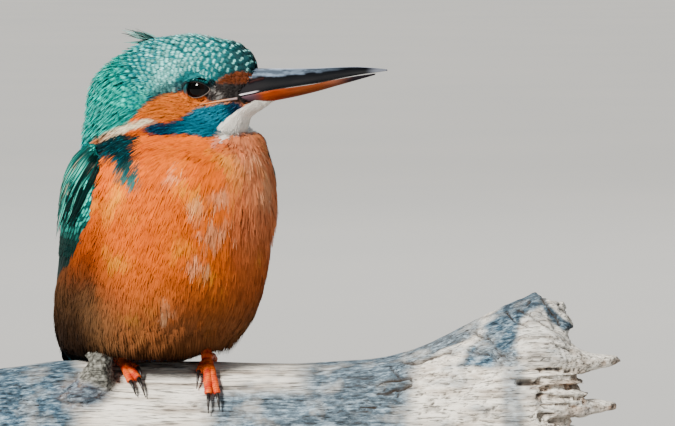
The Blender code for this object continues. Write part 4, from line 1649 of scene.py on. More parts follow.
SILKY, SOFT = Finishes.SILKY, Finishes.SOFT
REGIONS = (
    Plumes("face_coat", on_face, 0.40, 1.5, 0.36, 5, 2, 0.3, 0.3, 0.18, SILKY, "plumage_teal",
           stations=3, shade=0.45, variety=0.12),
    Plumes("nape_coat", on_nape, 0.66, 3.6, 0.6, 5, 3, 0.25, 0.4, 0.16, SILKY, "plumage_teal",
           Pattern.HAIR, variety=0.2),
    Plumes("cheek_coat", on_cheek, 0.66, 3.6, 0.75, 8, 2, 0.3, 0.35, 0.10, SILKY, "plumage_teal",
           shade=0.65, variety=0.08),
    Plumes("breast_coat", on_breast, 1.05, 6.4, 1.6, 14, 2, 0.3, 0.42, 0.06, SOFT, "plumage_orange",
           shade=0.95, variety=0.05, flat=0.7, even=0.95, full=2.0, arch=0.1, beside_wings=True),
    Plumes("back_coat", on_back, 1.3, 6.2, 1.7, 11, 3, 0.35, 0.25, 0.08, SILKY, "plumage_teal",
           beside_wings=True),
)


def tip_colours(base: Array) -> Array:
    """The paler tip that goes with each feather's own colour.

    Args:
        base: The feathers' own colours.

    Returns:
        A colour for each.
    """
    blue = rise(0.9, 1.6, base[:, 2] / np.maximum(base[:, 0], 1e-3))
    teal = mix(Ink.MALAR_TIP, Ink.NAPE_TIP, rise(1.1, 0.8, base[:, 2] / np.maximum(base[:, 1], 1e-3)))
    warm = np.clip(base * 1.14 + 0.02, 0, 1)
    return mix(warm, teal * 0.8 + 0.2 * base, blue)


def reach_bill(paths: Paths) -> None:
    """Moves the first feathers forward over the root of the bill.

    Args:
        paths: Where the feathers run, which it changes.
    """
    heading = unit(paths.places[:, 1] - paths.places[:, 0])
    head = HEAD.local(paths.places[:, 0])
    ahead = 1.3 * rise(8.0, 10.5, head[:, 0])
    paths.places -= (heading * ahead[:, None])[:, None]


def under_wings(wings: list["Wing"], points: Array, margin: float) -> Array:
    """1 under either wing, more than a margin in degrees inside its edges, below the shoulder.

    Args:
        wings: Both wings.
        points: Places on the bird, in mm.
        margin: In degrees.

    Returns:
        1 or 0 for each place.
    """
    covered = np.zeros(len(points))
    body = BODY.local(points)
    turn = round_of(body, Wing.MIDDLE)
    for wing in wings:
        front, back = (np.interp(body[:, 2], wing.levels, edge) for edge in (wing.front, wing.back))
        front = front + 30 * rise(42, 16, body[:, 2])
        inside = (turn > front + margin) & (turn < back - margin) & (body[:, 1] * wing.side > 0)
        covered[inside & (body[:, 2] > wing.low + 1) & (body[:, 2] < wing.high - 1.5)] = 1.0
    return covered


def baked(skin: Surface, roots: Array) -> Array:
    """Where roots lie on the unwrap of the skin."""
    place, _, face = skin.near(roots)
    return skin.unwrapped(place, face)


@dataclass(frozen=True)
class Skirt:
    """The soft feathers that hang from the belly over the legs."""

    spacing: float = 0.85
    shortest: float = 4.0
    longest: float = 7.5
    width: float = 0.95
    # The belly ends this much higher over each of FEET, in mm, and over how far to either side.
    over_feet: tuple[float, ...] = (1.2, 3.0)
    foot_reach: float = 2.4

    def grow(self, skin: Surface) -> None:
        """Writes the skirt.

        Args:
            skin: The skin that it grows from.
        """
        rng = np.random.default_rng(33)
        roots = skin.scattered(self.spacing, on_belly, rng)
        place, normal, _ = skin.near(roots)
        body = BODY.local(place)
        gap = sum(deep * np.exp(-(((place[:, 0] - BIRD[0] - foot.ankle[0]) / self.foot_reach) ** 2))
                  for foot, deep in zip(FEET, self.over_feet))
        room = body[:, 2] - 0.4 - gap
        kept = (round_of(body) < 108) & (rng.random(len(body)) < rise(18, 6, body[:, 2])) & (room > 1.0)
        place, normal, body, room = (rows[kept] for rows in (place, normal, body, room))
        out = unit(normal * (1, 1, 0) + 1e-6)
        t = np.linspace(0, 1, 5)[None, :, None]
        length = np.minimum(rng.uniform(self.shortest, self.longest, len(body)), room)[:, None, None]
        stray = rng.normal(0, 0.09, (len(body), 1, 1)) * np.cross(out, (0, 0, 1.0))[:, None]
        fall = np.array((0, 0, -1.0)) + stray + BODY.turned(np.array((0, 0.10, 0)))
        fall = fall - 0.4 * (out * rise(0.2, 0.9, out[:, :1]))[:, None]
        swell = np.sin(2.0 * t) * rise(20, 9, body[:, 2])[:, None, None] + 0.4
        places = place[:, None] + out[:, None] * (swell - 1.1 * t**2) + fall * length * t
        normals = unit(np.broadcast_to((out + 0.25 * normal)[:, None], places.shape))
        paths = Paths(places, normals, baked(skin, place))
        form = barbed(14, 3, 0.35, 0.45, 0.04, rng, 1.5)
        base = markings(place)
        coat = Feathers("skirt_coat", "plumage_orange", Finishes.SOFT)
        colours = patterned(Pattern.PLAIN, base, base * 1.05, form, rng, 0.95, 0.04)
        # Painted shade: the hanging feathers are dimmed all over, and darker still towards the bottom, where
        # the belly's shadow falls between the legs.
        level = body[:, 2, None] - length[:, 0] * form.along
        colours = colours * (0.86 - 0.7 * rise(7.0, 1.0, level))[..., None]
        coat.add(paths, form, self.width, (0.0, 0.05), colours, rng.normal(0, 0.08, len(base)))
        coat.write()


@dataclass(frozen=True)
class Chin:
    """The white feathers that run out under the bill and down the throat."""

    count: int = 1150
    width: float = 0.75
    shortest: float = 3.2
    longest: float = 4.6
    # Along the chin and throat: forward, up and half width.
    line: tuple = (
        (0, 18.2, -1.7, 0.4), (1.8, 16.5, -2.4, 1.3), (5.2, 13.6, -4.1, 2.8), (8.0, 10.9, -5.6, 3.7),
        (10.0, 9.3, -6.9, 4.2), (12.4, 8.1, -9.0, 4.6), (14.9, 6.9, -11.0, 4.9), (17.6, 5.4, -13.0, 5.2),
        (21.5, 2.8, -15.2, 5.4),
    )

    def grow(self, skin: Surface) -> None:
        """Writes the chin.

        Args:
            skin: The skin that the feathers are baked with.
        """
        rng = np.random.default_rng(31)
        begin = rng.uniform(0.0, 17.0, self.count)[:, None]
        side = rng.uniform(-1, 1, self.count)[:, None]
        side = np.minimum(side - 0.32 * rise(7.0, 13.0, begin), 1.0 - 0.75 * rise(7.0, 13.0, begin))
        t = begin + rng.uniform(self.shortest, self.longest, (self.count, 1)) * np.linspace(0, 1, 4)
        x, z, wide = (column.reshape(t.shape) for column in curve(self.line, t.ravel()))
        along = unit(np.stack((np.gradient(x, axis=1), np.gradient(z, axis=1)), axis=-1))
        out_x, out_z = -along[..., 1], along[..., 0]
        places = np.stack((x - 1.7 * out_x * side**2, side * wide, z - 1.7 * out_z * side**2), axis=-1)
        normals = np.stack((out_x, side + 0 * x, out_z), axis=-1)
        places = HEAD.world(places)
        paths = Paths(places, unit(HEAD.turned(normals)), baked(skin, places[:, 0]))
        form = barbed(9, 3, 0.3, 0.35, 0.3, rng, 1.5)
        low = HEAD.local(places[:, -1])
        half = np.interp(low[:, 2], (-14.4, -11.2, -9.0), (0.2, 3.4, 7.0))
        base = mix(markings(places[:, -1]), Ink.THROAT, rise(0.5, -0.5, np.abs(low[:, 1] + 2.4) - half))
        coat = Feathers("chin_coat", "plumage_teal", Finishes.SOFT)
        tip = 0.15 + 0.7 * rise(6.0, 10.0, begin[:, 0])
        colours = patterned(Pattern.PLAIN, base, base, form, rng, 0.95, 0.03)
        coat.add(paths, form, self.width, (-0.3, tip), colours)
        coat.write()


@dataclass(frozen=True)
class Crown:
    """The crown's short, round-tipped feathers, in rows from the forehead to the nape."""

    # Rays run from this far out to a place in the head, in the head's frame.
    pivot: tuple[float, ...] = (-6.0, 0.0, -4.0)
    reach: float = 45.0
    length: float = 3.3
    width: float = 0.98
    kinds: int = 5
    tuft_count: int = 56

    def rows(self, skin: Surface, rng: Rng) -> tuple[Array, Array]:
        """Roots where rays towards a place inside the head meet the skin.

        Args:
            skin: The skin that they lie on.
            rng: The random draws.

        Returns:
            The roots, and how far back each is from 0 to 1.
        """
        roots, turns = [], []
        pivot = HEAD.world(np.array(self.pivot))
        tilt, number = 4.0, 0
        while tilt < 170:
            for lean in np.arange(-82, 82, 4.4) + 2.2 * (number % 2) * (tilt > 48):
                a = math.radians(tilt + rng.normal(0, 0.4))
                b = math.radians(lean + rng.normal(0, 0.5))
                ray = np.array((math.cos(b) * math.cos(a), math.sin(b), math.cos(b) * math.sin(a)))
                ray = HEAD.turned(ray)
                hit = skin.tree.ray_cast(Vector(pivot + self.reach * ray), Vector(-ray))
                if hit[0] is not None:
                    roots.append(hit[0])
                    turns.append(tilt / 170)
            tilt += 3.9 + 1.7 * min(1.0, tilt / 90)
            number += 1
        roots, turns = np.array(roots), np.array(turns)
        kept = (on_crown(roots) > 0) & (HEAD.local(roots)[:, 0] < 12.6)
        return roots[kept], turns[kept]

    def grow(self, skin: Surface) -> None:
        """Writes the crown.

        Args:
            skin: The skin that they lie on.
        """
        rng = np.random.default_rng(7)
        coat = Feathers("crown_coat", "plumage_teal", Finishes.SILKY)
        roots, turns = self.rows(skin, rng)
        self.layer(coat, skin, roots, turns, Pattern.BARRED, 1.0, rng)
        under = roots + rng.normal(0, 0.8, roots.shape)
        self.layer(coat, skin, under, turns, Pattern.PLAIN, 0.45, rng)
        self.tuft(coat, skin, rng)
        coat.write()

    def layer(self, coat: Feathers, skin: Surface, roots: Array, turns: Array, pattern: Pattern, level: float,
              rng: Rng) -> None:
        """One layer of the crown: the barred feathers, or the plain ones under them.

        Args:
            coat: What the feathers join.
            skin: What they lie on.
            roots: Where they start.
            turns: How far back each is, from 0 to 1.
            pattern: What they show.
            level: The height of their tips, as a share of the coat's depth.
            rng: The random draws.
        """
        lengths = self.length * (0.62 + 0.5 * turns) * rng.uniform(0.92, 1.08, len(roots))
        paths = laid(skin, roots, lengths, 4, rng, 0.06)
        clear = off_eyes(paths)
        paths, turns = paths.picked(clear), turns[clear]
        reach_bill(paths)
        base = markings(paths.places[:, -2])
        pale = mix(Ink.CROWN_SPOT, Ink.NAPE_TIP, rise(0.6, 0.95, turns))
        pale = pale * rng.uniform(0.5, 1.15, (len(turns), 1))
        pale = mix(base, pale, 0.55 + 0.45 * rise(0.05, 0.25, turns))
        brow = HEAD.local(paths.places[:, -1])
        behind_eye = within(Marks.BEHIND_EYE, brow[:, 0], brow[:, 2] - 0.4, 0.8)
        hidden = np.maximum(rise(1.45, 1.15, near_eye(brow)), behind_eye)
        pale = mix(pale, base, 0.8 * hidden * rise(3.0, 0.0, brow[:, 0]))
        kinds = rng.integers(0, self.kinds, len(turns))
        for kind in range(self.kinds):
            chosen = kinds == kind
            form = barbed(9, 5, 0.12, 0.08, 0.35, rng, 1.9)
            tips = pale[chosen] if pattern is Pattern.BARRED else base[chosen]
            bars = rise(0.46, 0.24, turns[chosen])
            colours = patterned(pattern, base[chosen], tips, form, rng, 0.4, 0.12, bars)
            depth = coat_depth(paths.places[chosen, 0])
            wide = self.width * np.maximum(0.72 + 0.3 * turns[chosen], 1.0 - 0.9 * turns[chosen])
            coat.add(paths.picked(chosen), form, wide, (0.05, level * depth), colours)

    def tuft(self, coat: Feathers, skin: Surface, rng: Rng) -> None:
        """The longer hair-like feathers that stand up behind the crown.

        Args:
            coat: What the feathers join.
            skin: The skin that they lie on.
            rng: The random draws.
        """
        count = self.tuft_count
        start = np.array((-16.4, 0.0, 12.4)) + rng.normal(0, 1, (count, 3)) * (1.5, 0.9, 0.4)
        end = np.array((-25.2, 0.0, 15.2)) + rng.normal(0, 1, (count, 3)) * (1.6, 1.2, 0.7)
        end = np.where(rng.random((count, 1)) < 0.4, end * (1, 1, 0) + np.array((0, 0, 12.6)), end)
        t = np.linspace(0, 1, 4)[None, :, None]
        places = start[:, None] * (1 - t) + end[:, None] * t
        places[..., 2] += 0.35 * np.sin(math.pi * t[..., 0])
        normals = np.broadcast_to(HEAD.turned(np.array((0.25, 0.0, 1.0))), places.shape)
        form = barbed(3, 5, 0.4, 0.4, 0.2, rng, 1.6)
        base = np.where(rng.random((count, 1)) < 0.25, Ink.SLATE, linear(110, 160, 156))
        tips = np.where(rng.random((count, 1)) < 0.4, Ink.NAPE_TIP, linear(206, 214, 208))
        places = HEAD.world(places)
        paths = Paths(places, unit(normals), baked(skin, places[:, 0]))
        coat.add(paths, form, 0.5, (0.0, 0.0), patterned(Pattern.HAIR, base, tips, form, rng, 0.5, 0.12),
                 rng.normal(0, 0.5, count))


# ---------------------------------------------------------------------------------------------
# Wings and tail


class Wing:
    """A folded wing: rows of coverts over the flight feathers, laid on the wing's own solid."""

    # The middle of the body that the wings are seen from, on the body's own X.
    MIDDLE = -6.0
    # Its outline is measured at so many heights, each over a band of so many mm to either side.
    LEVELS = 24
    BAND = 2.6
    # Rays start this far out, and one that misses takes the surface nearest to this far in.
    OUTSIDE = 60.0
    INWARD = 34.0
    SCAPULARS = 108

    def __init__(self, name: str, side: int) -> None:
        """Measures the wing's solid.

        Args:
            name: The solid's name.
            side: 1 on the left and -1 on the right.
        """
        self.name, self.side = name, side
        self.skin: Surface | None = None
        self.surface = Surface(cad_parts[name])
        body = BODY.local(self.surface.points)
        turn = round_of(body, self.MIDDLE)
        self.low, self.high = body[:, 2].min() + 0.6, body[:, 2].max() - 0.6
        self.levels = np.linspace(self.low, self.high, self.LEVELS)
        near = [np.abs(body[:, 2] - level) < self.BAND for level in self.levels]
        self.front = np.array([turn[some].min() for some in near])
        self.back = np.array([turn[some].max() for some in near])
        self.rng = np.random.default_rng(40 + side)

    def outer(self, height: Array, share: Array) -> tuple[Array, Array]:
        """Places and normals on the outside, by height and by share from front edge to back.

        Args:
            height: Heights in the body's frame, in mm.
            share: Shares from front edge to back.

        Returns:
            A place and a normal for each.
        """
        height = np.clip(height, self.low, self.high)
        share = np.clip(share, 0.02, 0.98)
        front, back = (np.interp(height, self.levels, edge) for edge in (self.front, self.back))
        turn = np.radians(front + (back - front) * share)
        out = np.stack((np.cos(turn), self.side * np.sin(turn), 0 * turn), axis=-1)
        middle = np.stack((np.full_like(height, self.MIDDLE), 0 * height, height), axis=-1)
        start, aim = BODY.world(middle + self.OUTSIDE * out), BODY.turned(-out)
        places, normals = [], []
        for place, ray in zip(start.reshape(-1, 3), aim.reshape(-1, 3)):
            hit = self.surface.tree.ray_cast(Vector(place), Vector(ray))
            if hit[0] is None:
                hit = self.surface.tree.find_nearest(Vector(place + ray * self.INWARD))
            places.append(hit[0])
            normals.append(-ray)
        shape = (*height.shape, 3)
        return np.array(places).reshape(shape), np.array(normals).reshape(shape)

    def run(self, root: Array, tip: Array, share: Array, drift: Array, stations: int) -> Paths:
        """Paths from one height to another, moving back by a share as they go.

        Args:
            root: The roots' heights, in mm.
            tip: The tips' heights.
            share: The roots' shares.
            drift: How far back each moves, as a share.
            stations: Places along each.

        Returns:
            The paths.
        """
        t = np.linspace(0, 1, stations)[None]
        height = root[:, None] * (1 - t) + tip[:, None] * t
        places, normals = self.outer(height, share[:, None] + drift[:, None] * t)
        return Paths(places, normals, baked(self.skin, places[:, 0]))

    def coverts(self, feathers: Feathers, top: float, bottom: float, rows: int, length: float,
                width: float, lift: tuple, pattern: Pattern, edges: tuple = (0.03, 0.97)) -> None:
        """Staggered rows of small vanes.

        Args:
            feathers: What they join.
            top: The first row's height, in mm.
            bottom: The last row's.
            rows: How many rows.
            length: How long each feather is, in mm.
            width: Half the width of each.
            lift: Heights at root and tip over the wing's outside.
            pattern: What they show.
            edges: The shares of the wing that the rows span.
        """
        roots, shares = [], []
        for k, level in enumerate(np.linspace(top, bottom, rows)):
            angle = np.interp(level, self.levels, self.back - self.front)
            across = max(3, int(math.radians(angle) * 25 * (edges[1] - edges[0]) / (1.45 * width)))
            spots = edges[0] + (edges[1] - edges[0]) * (np.arange(across) + 0.5 * (k % 2) + 0.25) / across
            roots += [level] * across
            shares += spots.tolist()
        roots, shares = np.array(roots), np.array(shares)
        roots = roots + self.rng.normal(0, 0.3, len(roots))
        paths = self.run(roots, roots - length, shares, np.full(len(roots), 0.012 * length), 5)
        form = vaned(9, 12, 0.55, 0.45, 0.25)
        base = np.tile(Ink.WING, (len(roots), 1)) * self.rng.uniform(0.75, 1.25, (len(roots), 1))
        tip = {Pattern.EDGED: Ink.WING_EDGE}.get(pattern, Ink.WING_SPOT)
        tips = np.tile(tip, (len(roots), 1)) * self.rng.uniform(0.7, 1.1, (len(roots), 1))
        dim = rise(37, 47, roots)[:, None]
        base, tips = base * (0.2 + 1.2 * dim), tips * (0.03 + 0.97 * dim)
        tips = np.where(self.rng.random((len(roots), 1)) < 0.18, base * 1.5, tips)
        colours = patterned(pattern, base, tips, form, self.rng)
        feathers.add(paths, form, width * self.rng.uniform(0.9, 1.1, len(roots)), lift, colours,
                     self.rng.normal(0, 0.05, len(roots)))

    def quills(self, feathers: Feathers, count: int, roots: tuple, tips: tuple, shares: tuple,
               width: float, lifts: tuple) -> None:
        """Long flight feathers, each lying on the last.

        Args:
            feathers: What they join.
            count: How many.
            roots: The first root's height and the last one's, in mm.
            tips: The same for the tips.
            shares: The same for their places from front edge to back.
            width: Half the width of each, in mm.
            lifts: The same for their heights over the wing's outside.
        """
        t = np.linspace(0, 1, count)
        root, tip = (ends[0] + (ends[1] - ends[0]) * t for ends in (roots, tips))
        share = shares[0] + (shares[1] - shares[0]) * t
        paths = self.run(root, tip, share, np.full(count, 0.06), 9)
        form = vaned(11, 26, 0.7, 0.5, 0.12)
        form = Form(form.along, form.across * self.side, form.height, form.faces, form.strand)
        base = np.tile(Ink.FLIGHT, (count, 1))
        edge = np.tile(Ink.FLIGHT_EDGE, (count, 1))
        colours = patterned(Pattern.FLIGHT, base, edge, form, self.rng)
        order = np.linspace(lifts[0], lifts[1], count)
        feathers.add(paths, form, width, (order - 0.15, order), colours)

    def scapulars(self, feathers: Feathers) -> None:
        """The long pointed feathers that hang from the shoulder over the wing.

        Args:
            feathers: What they join.
        """
        count = self.SCAPULARS
        share = self.rng.uniform(-0.05, 0.8, count)
        root = 60.5 - 9 * self.rng.random(count) - 3 * share
        tip = root - self.rng.uniform(11, 20, count) - 7 * rise(0.3, 0.8, share) * self.rng.random(count)
        paths = self.run(root, tip, share, self.rng.uniform(0.14, 0.36, count), 7)
        form = vaned(9, 18, 0.45, 0.95, 0.22)
        dark = self.rng.random((count, 1)) < 0.4
        worn = (self.rng.random((count, 1)) < 0.3) & (root[:, None] > 54)
        base = np.where(dark, Ink.WING * 0.15, Ink.WING * self.rng.uniform(0.8, 1.8, (count, 1)))
        tips = np.where(dark, Ink.WING * 0.3, Ink.WING_EDGE * 0.9) * self.rng.uniform(0.6, 1.2, (count, 1))
        tips = np.where(worn, linear(196, 186, 156), tips)
        colours = patterned(Pattern.EDGED, base, tips, form, self.rng)
        tip_lift = self.rng.uniform(0.1, 1.2, count)
        feathers.add(paths, form, self.rng.uniform(0.35, 0.75, count), (-0.3, tip_lift), colours,
                     self.rng.normal(0, 0.12, count))

    def grow(self, skin: Surface) -> None:
        """Writes the wing.

        Args:
            skin: The skin that the feathers are baked with.
        """
        self.skin = skin
        label = "left" if self.side > 0 else "right"
        quills = Feathers(f"wing_{label}_quills", "plumage_teal", Finishes.VANE, (self.name,))
        self.quills(quills, 8, (30, 18), (2, self.low + 1.5), (0.85, 0.25), 2.3, (-1.5, -1.2))
        self.quills(quills, 8, (36, 30), (13, 5), (0.12, 0.85), 2.6, (-1.2, -0.9))
        quills.write()
        coverts = Feathers(f"wing_{label}_coverts", "plumage_teal", Finishes.VANE, (self.name,))
        self.coverts(coverts, 33, 28, 2, 13, 1.9, (-0.9, -0.5), Pattern.EDGED)
        self.coverts(coverts, 42, 34, 6, 6.2, 1.0, (-0.75, -0.35), Pattern.SPOTTED)
        self.coverts(coverts, 61.5, 42, 17, 4.4, 0.72, (-0.7, -0.15), Pattern.SPOTTED)
        self.scapulars(coverts)
        coverts.write()


@dataclass(frozen=True)
class Tail:
    """Twelve short feathers in a shallow fan, the middle pair on top."""

    root: tuple = (-25.0, 3.0)
    tip: tuple = (-39.5, -27.0)
    spread: float = 6.2
    count: int = 12

    def grow(self, skin: Surface) -> None:
        """Writes the tail.

        Args:
            skin: The skin that the feathers are baked with.
        """
        rng = np.random.default_rng(60)
        order = np.linspace(-1, 1, self.count)
        root = np.array((self.root[0], 0.0, self.root[1]))
        tip = np.array((self.tip[0], 0.0, self.tip[1]))
        along = unit(tip - root)
        over = np.cross(np.array((0.0, 1.0, 0.0)), along) * -1
        t = np.linspace(0, 1, 6)[None, :, None]
        reach = 1 - 0.05 * order[:, None, None] ** 2
        places = root + (tip - root) * t * reach
        places = places + np.array((0.0, 1.0, 0.0)) * (order[:, None, None] * (2.2 + (self.spread - 2.2) * t))
        places = places + over * (0.9 - 1.1 * np.abs(order))[:, None, None]
        normals = np.broadcast_to(over, places.shape)
        form = vaned(11, 24, 0.6, 0.4, 0.06)
        base = np.tile(Ink.TAIL, (self.count, 1)) * rng.uniform(0.8, 1.2, (self.count, 1))
        edge = np.tile(Ink.AZURE * 0.6, (self.count, 1))
        colours = patterned(Pattern.EDGED, base, edge, form, rng)
        places = BODY.world(places)
        paths = Paths(places, BODY.turned(normals), baked(skin, places[:, 0]))
        feathers = Feathers("tail_feathers", "plumage_teal", Finishes.VANE, ("tail",))
        feathers.add(paths, form, 2.9, (0.0, 0.0), colours)
        feathers.write()


# ---------------------------------------------------------------------------------------------
# Bill, eyes and feet


@dataclass(frozen=True)
class Bill:
    """Both halves of the bill, finer than the solids and inside them."""

    # Forward, ridge, cutting edge and half width of the upper half.
    upper_rows: tuple = (
        (5, 5.6, -1.75, 4.9), (9, 6.2, -0.75, 4.7), (13, 6.45, 0.1, 4.3), (18, 6.5, 1.2, 3.7),
        (24, 6.6, 2.1, 3.1), (30, 6.8, 3.0, 2.5), (36, 7.1, 4.2, 1.9), (42, 7.25, 5.25, 1.25),
        (47, 7.0, 5.9, 0.7), (50, 6.75, 6.3, 0.25),
    )
    # Forward, cutting edge, keel and half width of the lower half.
    lower_rows: tuple = (
        (5, -2.05, -4.6, 4.6), (9, -1.05, -3.8, 4.4), (13, -0.2, -2.7, 4.0), (18, 0.9, -1.75, 3.4),
        (24, 1.8, -0.6, 2.8), (30, 2.7, 0.8, 2.2), (36, 3.9, 2.4, 1.65), (42, 4.95, 4.0, 1.05),
        (46.5, 5.6, 5.2, 0.5),
    )
    rings: int = 260
    sides: int = 72
    power: float = 1.6
    nostril: tuple = ((12.0, 3.0), (13.6, 3.6), (15.6, 4.0))

    def half(self, rows: tuple, upper: bool) -> tuple[Array, Array]:
        """Points of one half in the head's frame, and its own map.

        Args:
            rows: The half's table.
            upper: True for the upper half.

        Returns:
            Points by ring and side in the head's frame, and its own map.
        """
        xs = rows[0][0] + (rows[-1][0] - rows[0][0]) * np.linspace(0, 1, self.rings) ** 0.9
        first, second, wide = curve(rows, xs)
        edge, ridge = (second, first) if upper else (first, second)
        turn = np.linspace(0, math.pi, self.sides)
        y = np.sign(np.cos(turn)) * np.abs(np.cos(turn)) ** (2 / self.power)
        z = np.sin(turn) ** (2 / self.power)
        shape = (self.rings, self.sides)
        points = np.stack((np.broadcast_to(xs[:, None], shape), wide[:, None] * y[None],
                           edge[:, None] + (ridge - edge)[:, None] * z[None]), axis=-1)
        under = points.copy()
        inset = (ridge - edge)[:, None] * 0.10 * (1 - y**2)
        under[..., 2] = edge[:, None] + inset
        ring = np.concatenate((points, under[:, ::-1][:, 1:-1]), axis=1)
        local = np.stack(np.broadcast_arrays(
            np.linspace(0, 1, ring.shape[1])[None], np.linspace(0, 4, self.rings)[:, None]), axis=-1)
        return ring, local

    def build(self) -> None:
        """Writes both halves."""
        halves = (("bill_upper", self.upper_rows, True), ("bill_lower", self.lower_rows, False))
        for name, rows, upper in halves:
            ring, local = self.half(rows, upper)
            points = ring.reshape(-1, 3)
            if upper:
                points = self.with_nostrils(points)
            colours = self.colours(points, upper)
            thing = write_mesh(name + "_horn", HEAD.world(points), capped(*ring.shape[:2]), colours,
                               {"Vane": local.reshape(-1, 2)})
            settle(thing, (name,), Finishes.HORN)

    def gape(self, skin: Surface) -> None:
        """The bare corner of the mouth, on either side.

        Args:
            skin: The skin that it lies on.
        """
        for label, side in (("left", 1), ("right", -1)):
            t = np.linspace(0, 1, 40)
            x, z = 9.5 - 9.0 * t, -1.2 - 1.3 * t - 0.3 * t**2
            start = HEAD.world(np.stack((x, np.full(40, side * 30.0), z), axis=1))
            aim = Vector(HEAD.turned(np.array((0.0, -side, 0.0))))
            hits = [skin.tree.ray_cast(Vector(place), aim)[0] for place in start]
            path = np.array([hit if hit is not None else place for hit, place in zip(hits, start)])
            path = path + np.array(-aim) * 0.35
            points, faces = tube(path, 0.44 - 0.32 * t, 12, 0.8)
            shade = np.repeat(t, 12)
            colours = mix(linear(150, 128, 128), linear(236, 160, 104), rise(0.15, 0.5, shade))
            thing = write_mesh(f"gape_{label}", points, faces, colours, {"Vane": np.zeros((len(points), 2))})
            settle(thing, (), Finishes.LID)

    def with_nostrils(self, points: Array) -> Array:
        """Presses a slit into each side.

        Args:
            points: Points of the upper half in the head's frame.

        Returns:
            The same points with both slits.
        """
        deep = 0.4 * rise(0.45, 0.1, beside(points[:, (0, 2)], self.nostril))
        pressed = points.copy()
        pressed[:, 1] -= np.sign(points[:, 1]) * deep
        return pressed

    def colours(self, points: Array, upper: bool) -> Array:
        """Horn colours by place: dark above with a painted blue-white reflection along the ridge and sides,
        orange below with a dark tip.

        Args:
            points: Points of one half in the head's frame.
            upper: True for the upper half.

        Returns:
            A linear colour for each.
        """
        x, z = points[:, 0], points[:, 2]
        first, second, _ = curve(self.upper_rows if upper else self.lower_rows, x)
        if not upper:
            streak = layered(points, (9.0, 1.6, 1.6), 3, 5)
            ink = mix(linear(136, 50, 12), linear(176, 80, 32), rise(-0.4, 0.4, streak))
            ink = mix(ink, linear(112, 58, 30), 0.8 * rise(18, 27, x + streak))
            ink = mix(ink, linear(88, 66, 76), rise(16.5, 12.5, x + streak))
            ink = mix(ink, linear(120, 70, 52), rise(31, 37, x))
            return mix(ink, linear(34, 30, 36), rise(36, 42, x + 2 * streak))
        level = np.clip((z - second) / np.maximum(first - second, 0.1), 0, 1)
        ink = np.tile(linear(5, 7, 12), (len(points), 1))
        # Painted reflection: a mottled blue-white band along the upper sides and a pale line along the ridge
        # stand for the sky's sheen on the black horn.
        patches = layered(points, (3.4, 1.0, 1.0), 3, 5) + 0.35 * layered(points, (0.9, 0.5, 0.5), 2, 9)
        low = np.interp(x, (9, 14, 22, 38, 50), (0.60, 0.60, 0.58, 0.66, 0.8))
        band = rise(0.0, 0.12, level - low + 0.10 * patches)
        worn = band * (0.35 + 0.65 * rise(-0.25, 0.35, patches)) * rise(46, 24, x)
        ink = mix(ink, linear(134, 154, 178), 0.75 * worn * rise(50, 12, x))
        ink = mix(ink, linear(190, 200, 220), 0.8 * rise(0.93, 1.0, level) * rise(12, 20, x))
        ink = mix(ink, linear(20, 18, 22), rise(20, 12, x) * rise(low + 0.08, low - 0.02, level))
        ink = mix(ink, linear(226, 218, 226), 0.85 * rise(0.08, 0.04, level) * rise(15.5, 13.6, x))
        ink = mix(ink, linear(120, 126, 140), 0.6 * rise(44, 48, x))
        return mix(ink, linear(42, 20, 18), 0.9 * rise(0.42, 0.2, beside(points[:, (0, 2)], self.nostril)))


